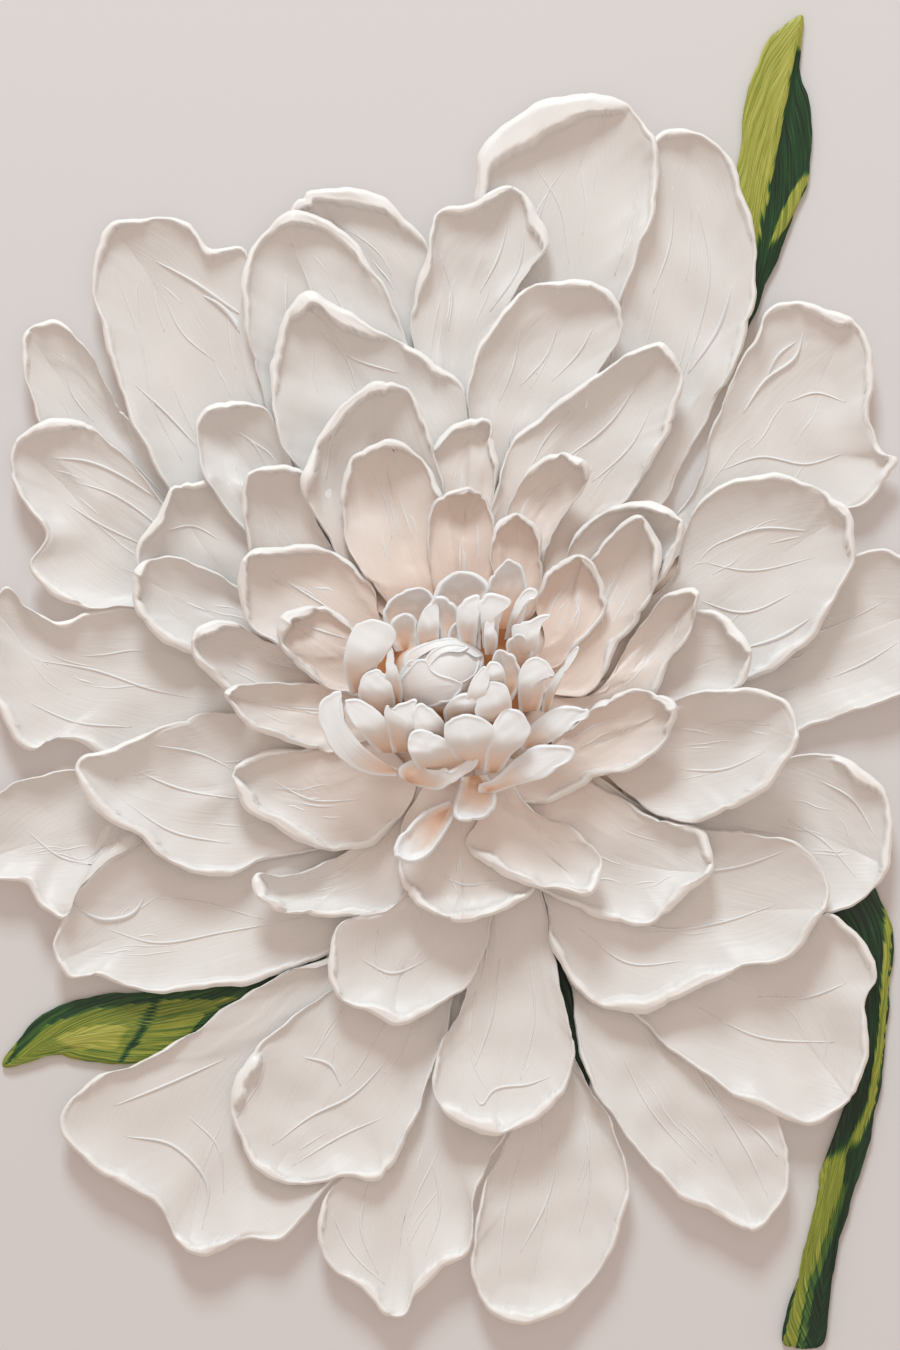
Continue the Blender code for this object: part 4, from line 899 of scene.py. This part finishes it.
# Crown: outlines from the root round the tip, then heights off the wall in mm of root and tip,
# how far the middle bulges towards the front, and the lip's width and height in mm.
crownForm = {
    "stations": 30, "halfLines": 12, "thickness": 0.0011, "tear": 0.00045,
    "curl": 2.0, "belly": 1.0, "bulge": 0.5,
    "base": 0.030, "baseRise": 0.029, "baseRadii": (0.056, 0.050), "baseCentre": (452, 672),
    "budCentre": (440, 673), "budRadii": (0.032, 0.027), "budBase": 0.055, "budRise": 0.0205,
    "budStations": 44, "budHalfLines": 16, "budTear": 0.0003,
    "budThickness": 0.0010, "budLipWidth": 0.0020, "budLipHeight": 0.0011,
}
# The crown's tints: a bluish white edge as painted highlight on its lips, peach and a darker brown as painted
# shade at roots and in gaps.
crownPaintedLightTints = {"edge": "#EFF3F6", "cool": "#E8E5E3", "warm": "#EDD0BB", "deep": "#BE7F4C"}
crownPetals = (
    (((455, 640), (434, 604), (437, 588), (445, 580), (456, 575), (465, 574), (476, 577), (485, 584),
      (488, 593), (484, 606), (478, 640)), 60, 71, -7, 7, 2.5),
    (((492, 632), (485, 600), (488, 584), (495, 575), (502, 567), (507, 562), (512, 562), (518, 566),
      (523, 576), (526, 590), (520, 630)), 58, 69, -6, 3.5, 1.5),
    (((408, 652), (385, 622), (384, 613), (390, 604), (398, 597), (408, 592), (420, 590), (430, 594),
      (436, 606), (434, 645)), 58, 68, -7, 3, 1.6),
    (((504, 640), (511, 612), (517, 600), (522, 593), (529, 590), (536, 593), (534, 598), (528, 599),
      (523, 606), (518, 618), (514, 640)), 62, 72, 1, 3, 1),
    (((397, 652), (392, 640), (391, 630), (395, 621), (404, 616), (412, 617), (418, 623), (418, 634),
      (416, 650)), 64, 73, -4, 5, 2.5),
    (((418, 650), (418, 630), (423, 613), (430, 604), (434, 602), (438, 606), (439, 620), (438, 648)), 64,
      74, 2, 2, 0.5),
    (((443, 648), (437, 620), (431, 606), (435, 598), (446, 600), (454, 607), (459, 619), (459, 646)), 64,
      75, -3, 5, 2.5),
    (((461, 648), (456, 622), (460, 607), (469, 599), (479, 597), (481, 605), (478, 620), (475, 648)), 63,
      76, 3, 4, 1.5),
    (((483, 648), (480, 618), (479, 603), (486, 596), (497, 597), (509, 604), (503, 613), (499, 625),
      (496, 648)), 63, 77, 3, 4, 1.5),
    (((452, 652), (449, 633), (454, 625), (461, 621), (470, 621), (477, 630), (480, 650)), 62, 75, -3, 3,
      1.5),
    (((485, 655), (484, 636), (485, 622), (488, 616), (492, 620), (495, 630), (496, 644), (494, 656)), 66,
      77, 2, 2, 0.5),
    (((508, 665), (511, 640), (512, 629), (518, 624), (528, 622), (540, 616), (549, 616), (542, 623),
      (538, 632), (537, 645), (528, 662)), 62, 75, 2, 3, 1),
    (((503, 672), (505, 652), (508, 641), (514, 636), (522, 636), (528, 643), (531, 652), (526, 670)), 64,
      77, -3, 3, 1.5),
    (((519, 712), (517, 690), (519, 672), (524, 663), (536, 658), (546, 664), (553, 677), (545, 675),
      (542, 690), (538, 710)), 60, 74, 3, 2, 0.8),
    (((497, 700), (497, 680), (492, 662), (497, 651), (507, 652), (515, 659), (519, 670), (518, 684),
      (511, 700)), 66, 79, -2, 3, 1.5),
    (((484, 690), (485, 672), (490, 662), (498, 664), (504, 674), (503, 692)), 68, 80, 2, 2, 1),
    (((352, 694), (347, 672), (347, 652), (351, 636), (360, 625), (371, 622), (383, 623), (393, 628),
      (397, 636), (393, 646), (384, 660), (376, 672), (370, 692)), 56, 76, 7, 3, 0.5),
    (((388, 700), (386, 672), (387, 655), (390, 646), (393, 652), (396, 664), (400, 676), (403, 690),
      (402, 702)), 64, 76, 1, 2, 0.6),
    (((364, 712), (361, 697), (362, 683), (367, 673), (376, 669), (385, 673), (391, 683), (395, 697),
      (395, 714)), 58, 72, 5, 2, 0.8),
    (((500, 722), (476, 715), (477, 698), (482, 686), (492, 681), (503, 684), (509, 698), (508, 722)), 66,
      78, 3, 2, 0.8),
    (((462, 720), (465, 700), (470, 684), (477, 673), (484, 667), (488, 674), (486, 690), (482, 715)), 68,
      80, 2, 2, 0.8),
    (((446, 722), (444, 710), (449, 702), (458, 696), (470, 694), (476, 701), (478, 716)), 66, 77, 2, 4,
      1.8),
    (((400, 775), (379, 774), (360, 768), (343, 757), (330, 742), (322, 722), (322, 709), (328, 697),
      (337, 691), (345, 691), (341, 699), (343, 712), (349, 728), (360, 744), (374, 757), (402, 770)), 50,
      68, 4, 3, 1),
    (((380, 752), (366, 737), (355, 721), (347, 707), (346, 700), (355, 698), (366, 702), (378, 711),
      (389, 718), (400, 726), (404, 752)), 52, 71, 5, 3, 1.2),
    (((394, 752), (388, 726), (386, 710), (389, 704), (393, 708), (399, 704), (407, 702), (415, 700),
      (418, 716), (420, 750)), 54, 74, 4, 2.5, 1.5),
    (((420, 752), (415, 728), (415, 708), (421, 704), (430, 707), (438, 714), (445, 724), (450, 748)), 54,
      75, 4, 3, 1.2),
    (((484, 772), (486, 748), (491, 732), (496, 720), (501, 711), (508, 706), (518, 710), (525, 718),
      (528, 730), (522, 742), (510, 754), (500, 772)), 52, 73, 5, 3, 1.2),
    (((462, 768), (450, 748), (445, 732), (446, 723), (455, 716), (467, 714), (481, 717), (492, 726),
      (491, 742), (484, 768)), 53, 76, 6, 3, 1.5),
    (((424, 774), (413, 758), (409, 744), (412, 734), (421, 730), (433, 732), (447, 738), (460, 746),
      (466, 755), (460, 772)), 50, 74, 6, 2.5, 1),
    (((401, 777), (399, 769), (407, 762), (420, 760), (425, 766), (437, 769), (446, 767), (450, 772),
      (462, 764), (476, 754), (475, 763), (464, 774), (452, 783), (438, 788), (418, 785)), 54, 62, 3, 4,
      1.5),
    (((521, 750), (520, 741), (526, 731), (535, 720), (545, 712), (558, 707), (573, 707), (586, 710),
      (585, 717), (575, 721), (567, 731), (556, 737), (545, 743), (532, 750)), 50, 60, 3, 4, 1.8),
    (((479, 792), (478, 785), (492, 779), (505, 769), (513, 759), (526, 749), (541, 744), (556, 745),
      (571, 750), (570, 757), (560, 766), (546, 775), (529, 780), (512, 785), (494, 792)), 50, 60, 3, 5, 2),
    (((541, 712), (543, 697), (550, 681), (560, 667), (568, 656), (576, 648), (574, 658), (564, 673),
      (557, 686), (551, 700), (549, 712)), 54, 64, 2, 2, 0.8),
    (((450, 800), (430, 808), (412, 822), (399, 840), (396, 852), (404, 860), (418, 860), (432, 850),
      (444, 832), (458, 806)), 44, 50, -3, 6, 2.5),
    (((462, 776), (458, 792), (455, 806), (457, 815), (464, 819), (476, 819), (487, 815), (494, 805),
      (494, 790), (486, 774)), 46, 53, -3, 5, 2.2),
)
# The bud is wound from thin petals over one another: outline, then how far each stands out
# from the ball under it in mm.
budPetals = (
    (((404, 664), (405, 656), (414, 650), (430, 643), (446, 639), (462, 641), (476, 649), (483, 659),
      (478, 672), (466, 682), (440, 682), (412, 676)), 0.4),
    (((412, 700), (402, 690), (400, 680), (404, 668), (410, 661), (424, 660), (440, 664), (450, 678),
      (446, 704)), 0.8),
    (((462, 694), (442, 686), (432, 676), (429, 668), (436, 658), (446, 648), (457, 645), (470, 650),
      (479, 658), (478, 668), (469, 681)), 2.2),
    (((400, 692), (402, 680), (411, 668), (419, 660), (426, 660), (430, 668), (440, 675), (452, 679),
      (461, 684), (460, 692), (453, 700), (440, 705), (420, 706), (406, 702)), 3.4),
    (((404, 666), (408, 655), (422, 646), (438, 640), (456, 639), (470, 645), (482, 656), (476, 657),
      (462, 650), (442, 647), (426, 653), (412, 666)), 3.6),
    (((424, 664), (429, 655), (442, 646), (456, 644), (468, 648), (462, 652), (448, 652), (436, 659),
      (431, 667)), 4.6),
)


def barrel(net):
    # 1 along the line from root to tip, falling to 0 at the widest place of the sides
    root = (net["left"][0] + net["right"][0]) / 2
    axis = net["left"][-1] - root
    axis = axis / np.linalg.norm(axis)
    away = (net["plan"] - root) @ np.array((-axis[1], axis[0]))
    return 1 - (away / np.abs(away).max()) ** 2


def makeCrownPetal(number, spec, paste):
    outline, root, tip, bulge, lipWidth, lipHeight = spec
    random = np.random.default_rng(400 + number)
    line = torn(smoothCurve([onWall(point) for point in outline], 12), crownForm["tear"], random)
    net = netOf(line, crownForm["stations"], crownForm["halfLines"], 1.2, 0.78)
    grown = np.clip(net["share"] / 0.3, 0, 1)
    dome = barrel(net) if bulge > 0 else 1 - (1 - net["inward"]) ** 2
    rise = (tip - root) * net["along"] ** 0.8 + crownForm["curl"] * net["along"] ** 6
    if bulge > 0:
        belly = tip - root + crownForm["belly"]
        rise = belly * np.sin(np.clip(net["along"] * 1.9, 0, 1) * math.pi / 2)
        rise = rise - crownForm["belly"] * np.clip((net["along"] - 0.4) / 0.6, 0, 1) ** 1.4
    back = (root + rise + bulge * crownForm["bulge"] * dome * (0.4 + 0.6 * grown)) / 1000
    place = net["depths"] / (lipWidth / 1000)
    if bulge > 0:
        grown = np.clip((net["share"] - 0.45) / 0.3, 0, 1)
    ripple = waves(random, 4, 0.006, 0.02)(net["plan"]) * 0.00022
    crisp = lipHeight / 1000 * (0.6 if bulge > 0 else 1)
    top = back + crownForm["thickness"] + crest(place) * crisp * grown + ripple
    # painted shade: peach towards the root fading to white at the tip, and white lips as a painted highlight
    warm = np.clip(0.82 - 1.9 * net["along"], 0.02, 1)
    if bulge < 0:
        warm = np.clip(0.95 - 1.2 * net["along"], 0.03, 1)
    warm = warm * np.clip(place - 0.2, 0, 1)
    piece = sheetPiece(f"crown_petal_{number:02d}", net, back, top, warm, "warmth", paste)
    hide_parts("crown")


def makeBudPetal(number, spec, paste):
    outline, stand = spec
    random = np.random.default_rng(500 + number)
    line = torn(smoothCurve([onWall(point) for point in outline], 12), crownForm["budTear"], random)
    net = netOf(line, crownForm["budStations"], crownForm["budHalfLines"], 1.0, 0.78)
    across, up = crownForm["budRadii"]
    offset = (net["plan"] - onWall(crownForm["budCentre"])) / (across, up)
    ball = np.sqrt(np.clip(1 - (offset ** 2).sum(axis=2), 0.02, 1))
    back = crownForm["budBase"] + crownForm["budRise"] * ball + stand / 1000 * (0.3 + 0.7 * net["share"])
    rim = crest(net["depths"] / crownForm["budLipWidth"]) * crownForm["budLipHeight"]
    rim = rim * np.clip(net["share"] / 0.2, 0, 1)
    top = back + crownForm["budThickness"] + rim + waves(random, 4, 0.008, 0.03)(net["plan"]) * 0.00025
    # painted shade: peach towards the root, white at the edges as a painted highlight
    warm = 0.02 + 0.30 * (1 - net["along"]) ** 3 * np.clip(net["depths"] / 0.0025, 0, 1)
    piece = sheetPiece(f"bud_petal_{number}", net, back, top, warm, "warmth", paste)
    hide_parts("crown")


def makeBall(name, centre, radii, low, rise, warmth, paste):
    # a rounded body that the crown's petals are set on; its sides are painted darker, as painted shade where
    # it tucks under the petals
    middle = onWall(centre)
    bpy.ops.object.select_all(action="DESELECT")
    bpy.ops.mesh.primitive_uv_sphere_add(segments=64, ring_count=32, radius=1)
    piece = bpy.context.object
    piece.name = piece.data.name = name
    spots = np.zeros(len(piece.data.vertices) * 3)
    piece.data.vertices.foreach_get("co", spots)
    spots = spots.reshape(-1, 3)
    front = low + np.maximum(spots[:, 2], -0.15) * rise
    shape = np.stack([middle[0] + spots[:, 0] * radii[0], -front, middle[1] + spots[:, 1] * radii[1]], axis=1)
    piece.data.vertices.foreach_set("co", shape.ravel())
    # painted shade: towards deep brown at the sides that turn away under the petals
    warm = piece.data.attributes.new("warmth", "FLOAT", "POINT")
    sides = 1 - np.clip(spots[:, 2], 0, 1)
    warm.data.foreach_set("value", warmth + (1 - warmth) * np.clip(sides * 1.4, 0, 1) ** 2)
    piece.data.uv_layers[0].name = "alongPetal"
    bpy.ops.object.mode_set(mode="EDIT")
    bpy.ops.mesh.select_all(action="SELECT")
    bpy.ops.mesh.normals_make_consistent(inside=False)
    bpy.ops.object.mode_set(mode="OBJECT")
    bpy.ops.object.shade_smooth()
    coat(piece, paste)
    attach(piece, "root")
    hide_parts("crown")


# Greens: outline, stations, thickness at edge and extra along the middle in mm, colour stops,
# then patches of paint laid in turn: 0 is the lightest green and 1 the darkest.
greens = {
    "upper_leaf": {
        "outline": ((650, 462), (718, 368), (752, 305), (757, 262), (742, 225), (743, 150), (752, 85),
                    (775, 32), (805, 9), (803, 60), (812, 95), (813, 165), (790, 230), (762, 300),
                    (726, 376), (662, 470)),
        "stations": 150, "edge": 2.4, "middle": 1.6, "ground": 0.15,
        "patches": (
            (0.85, ((800, 40), (790, 95), (777, 165), (764, 225), (752, 262), (745, 330), (820, 330),
                    (830, 60))),
            (0.22, ((816, 168), (800, 206), (780, 238), (772, 240), (786, 205), (806, 168))),
            (0.10, ((796, 30), (783, 110), (771, 170), (764, 170), (774, 110), (786, 40))),
        ),
    },
    "left_leaf": {
        "outline": ((290, 888), (250, 975), (160, 993), (100, 999), (50, 1012), (0, 1071), (50, 1060),
                    (110, 1068), (180, 1060), (250, 1040), (310, 985), (322, 900)),
        "stations": 150, "edge": 2.4, "middle": 1.6, "ground": 0.36,
        "patches": (
            (0.78, ((340, 880), (160, 985), (90, 992), (30, 1015), (0, 1070), (40, 1030), (90, 1012),
                    (165, 1003), (240, 1000), (340, 1010))),
            (0.85, ((160, 996), (143, 1034), (120, 1066), (114, 1066), (138, 1030), (153, 996))),
            (0.70, ((235, 1000), (200, 1020), (180, 1045), (200, 1050), (240, 1030), (330, 1000))),
            (0.12, ((52, 1040), (90, 1028), (125, 1030), (112, 1052), (70, 1054))),
        ),
    },
    "lower_sepal": {
        "outline": ((533, 965), (555, 1010), (568, 1060), (588, 1094), (596, 1060), (594, 1010),
                    (585, 960)),
        "stations": 60, "edge": 2.2, "middle": 1.4, "ground": 0.95, "patches": (),
    },
    "stem": {
        "outline": ((680, 842), (760, 890), (822, 925), (858, 985), (866, 1050), (852, 1115),
                    (828, 1170), (815, 1230), (800, 1290), (790, 1352), (822, 1352), (835, 1290),
                    (848, 1230), (870, 1160), (884, 1095), (893, 1000), (894, 925), (870, 880),
                    (790, 838), (712, 796)),
        "stations": 240, "edge": 3.0, "middle": 2.2, "ground": 0.90,
        "patches": (
            (0.25, ((899, 890), (896, 950), (890, 1040), (880, 1105), (862, 1150), (851, 1150),
                    (872, 1105), (882, 1040), (888, 950), (890, 890))),
            (0.30, ((826, 1165), (852, 1155), (846, 1190), (830, 1240), (812, 1290), (800, 1354),
                    (786, 1354), (800, 1290), (812, 1230))),
            (0.55, ((846, 1190), (830, 1240), (812, 1290), (802, 1354), (808, 1354), (820, 1290),
                    (838, 1240), (852, 1190))),
        ),
    },
}


def makeGreen(name, spec, number, laid, paint):
    random = np.random.default_rng(600 + number)
    points = rooted(spec["outline"], coreForm["radius"] + 0.0003, petalForm["narrowing"], outside=True)
    line = torn(smoothCurve(points, 14), 0.0005, random)
    net = netOf(line, spec["stations"], 16, petalForm["tipCrowding"], petalForm["spineShare"])
    plan = net["plan"]
    wander = np.stack([waves(random, 6, 0.004, 0.02)(plan), waves(random, 6, 0.01, 0.05)(plan)], axis=2)
    dark = np.full(plan.shape[:2], spec["ground"])
    for value, patch in spec["patches"]:
        corners = np.array([onWall(point) for point in patch])
        dark = np.where(inside(plan + wander * 0.0007, corners), value, dark)
    knife = 0
    for _ in range(8):
        offset = net["across"] - random.uniform(-0.9, 0.9) - 0.15 * net["share"]
        stroke = np.exp(-(offset / random.uniform(0.04, 0.12)) ** 2)
        knife = knife + stroke * random.uniform(-0.5, 0.7)
    top = (spec["edge"] + spec["middle"] * net["inward"]) / 1000 * np.ones_like(net["share"])
    top += (knife * 0.0005 + 0.0005 * (dark < 0.5)) * np.clip(net["depths"] / 0.002, 0, 1)
    laid.lay(plan, top)
    piece = sheetPiece(name + "_paint", net, np.zeros(top.shape), top, dark, "darkPaint", paint)
    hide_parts(name)


paste = modellingPaste("modelling_paste_knife_dragged", pasteLook)
# The crown's copy of the paste differs only in its painted highlight and painted shade tints.
crownPaste = modellingPaste("modelling_paste_crown_painted_light", pasteLook | crownPaintedLightTints)
inOrder = [outline for members in petals.values() for outline in members]
laid = Laid(inOrder)
for number, (name, spec) in enumerate(greens.items()):
    makeGreen(name, spec, number, laid, knifePaint(name + "_knife_paint", paintLook))
print("greens done")
drawn = {}
for crease in creases:
    middle = onWall(crease[0][len(crease[0]) // 2])
    owner = [(ring, number) for ring, members in petals.items()
             for number, outline in enumerate(members, start=1)
             if inside(middle, np.array([onWall(point) for point in outline]))]
    if owner:
        drawn.setdefault(owner[-1], []).append(crease)
for ring, members in petals.items():
    for number, outline in enumerate(members, start=1):
        makePetal(ring, number, outline, inOrder.index(outline), drawn.get((ring, number), ()), laid, paste)
    print("ring done:", ring)
# The crown's base is painted deep brown all over: painted shade, as it shows only in the gaps between crown
# petals.
makeBall("crown_base", crownForm["baseCentre"], crownForm["baseRadii"], crownForm["base"],
         crownForm["baseRise"], 1.0, crownPaste)
makeBall("bud_core", crownForm["budCentre"], crownForm["budRadii"], crownForm["budBase"],
         crownForm["budRise"], 0.25, crownPaste)
for number, spec in enumerate(crownPetals, start=1):
    makeCrownPetal(number, spec, crownPaste)
for number, spec in enumerate(budPetals, start=1):
    makeBudPetal(number, spec, crownPaste)
print("crown done")

# The backing core shows only in the gaps between petals, so it is painted peach all over: painted warm shade.
recessPaintedShadeTints = {"edge": "#E6D0C0"}
coat(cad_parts["backing_core"], modellingPaste("modelling_paste_recess_painted_shade", pasteLook | recessPaintedShadeTints))

# Wall behind the flower and camera in front.
stageSet = {"wallColour": "#DBDADB", "wallSide": 6.0, "wallGap": 0.0015, "distance": 2.6,
            "frameCentre": (450, 675), "frameHeight": 0.900, "focusHeight": 0.03}


def makeStage(look):
    bpy.ops.object.select_all(action="DESELECT")
    bpy.ops.mesh.primitive_plane_add(size=look["wallSide"], location=(0, look["wallGap"], 0),
                                     rotation=(math.pi / 2, 0, 0))
    wall = bpy.context.object
    wall.name = "wall_backdrop"
    material, tree, shader = newMaterial("matt_wall_paint")
    shader.inputs["Base Color"].default_value = linear(look["wallColour"])
    shader.inputs["Roughness"].default_value = 0.85
    # a camera behind the wall looks through it, so the flower's back can be seen
    side = addNode(tree, "ShaderNodeNewGeometry")
    ray = addNode(tree, "ShaderNodeLightPath")
    behind = addNode(tree, "ShaderNodeMath", {"operation": "MULTIPLY"}, {
        0: side.outputs["Backfacing"], 1: ray.outputs["Is Camera Ray"]})
    clear = addNode(tree, "ShaderNodeBsdfTransparent")
    seen = addNode(tree, "ShaderNodeMixShader", None, {
        0: behind.outputs["Value"], 1: shader.outputs["BSDF"], 2: clear.outputs["BSDF"]})
    tree.links.new(seen.outputs["Shader"], tree.nodes["Material Output"].inputs["Surface"])
    wall.visible_diffuse = False
    wall.visible_glossy = False
    wall.visible_shadow = False
    wall.data.materials.append(material)
    centre = onWall(look["frameCentre"])
    camera = bpy.data.cameras.new("camera")
    camera.sensor_width = 36
    camera.lens = 36 * (look["distance"] - look["focusHeight"]) / look["frameHeight"]
    holder = bpy.data.objects.new("camera", camera)
    holder.location = (centre[0], -look["distance"], centre[1])
    holder.rotation_euler = (math.pi / 2, 0, 0)
    bpy.context.scene.collection.objects.link(holder)
    bpy.context.scene.camera = holder


# Cool daylight from a window high above, a weak lamp in front, and a warm room around them.
lamps = {
    "window_above": {"place": (-0.55, -2.9, 4.7), "size": 1.4, "power": 192, "colour": (0.80, 0.94, 1.0)},
    "soft_front": {"place": (0.5, -3.2, 0.2), "size": 3.0, "power": 10, "colour": (1.0, 0.96, 0.92)},
}
room = {"colour": (1.0, 0.81, 0.70, 1.0), "strength": 0.61}


def addLamp(name, look):
    lamp = bpy.data.lights.new(name, "AREA")
    lamp.size = look["size"]
    lamp.energy = look["power"]
    lamp.color = look["colour"]
    holder = bpy.data.objects.new(name, lamp)
    holder.location = look["place"]
    holder.rotation_euler = (-Vector(look["place"])).to_track_quat("-Z", "Y").to_euler()
    bpy.context.scene.collection.objects.link(holder)


makeStage(stageSet)
for name, look in lamps.items():
    addLamp(name, look)
world = bpy.data.worlds.new("room")
world.use_nodes = True
background = world.node_tree.nodes["Background"]
background.inputs["Color"].default_value = room["colour"]
background.inputs["Strength"].default_value = room["strength"]
bpy.context.scene.world = world
bpy.context.scene.view_settings.view_transform = "Standard"

print("stage done")
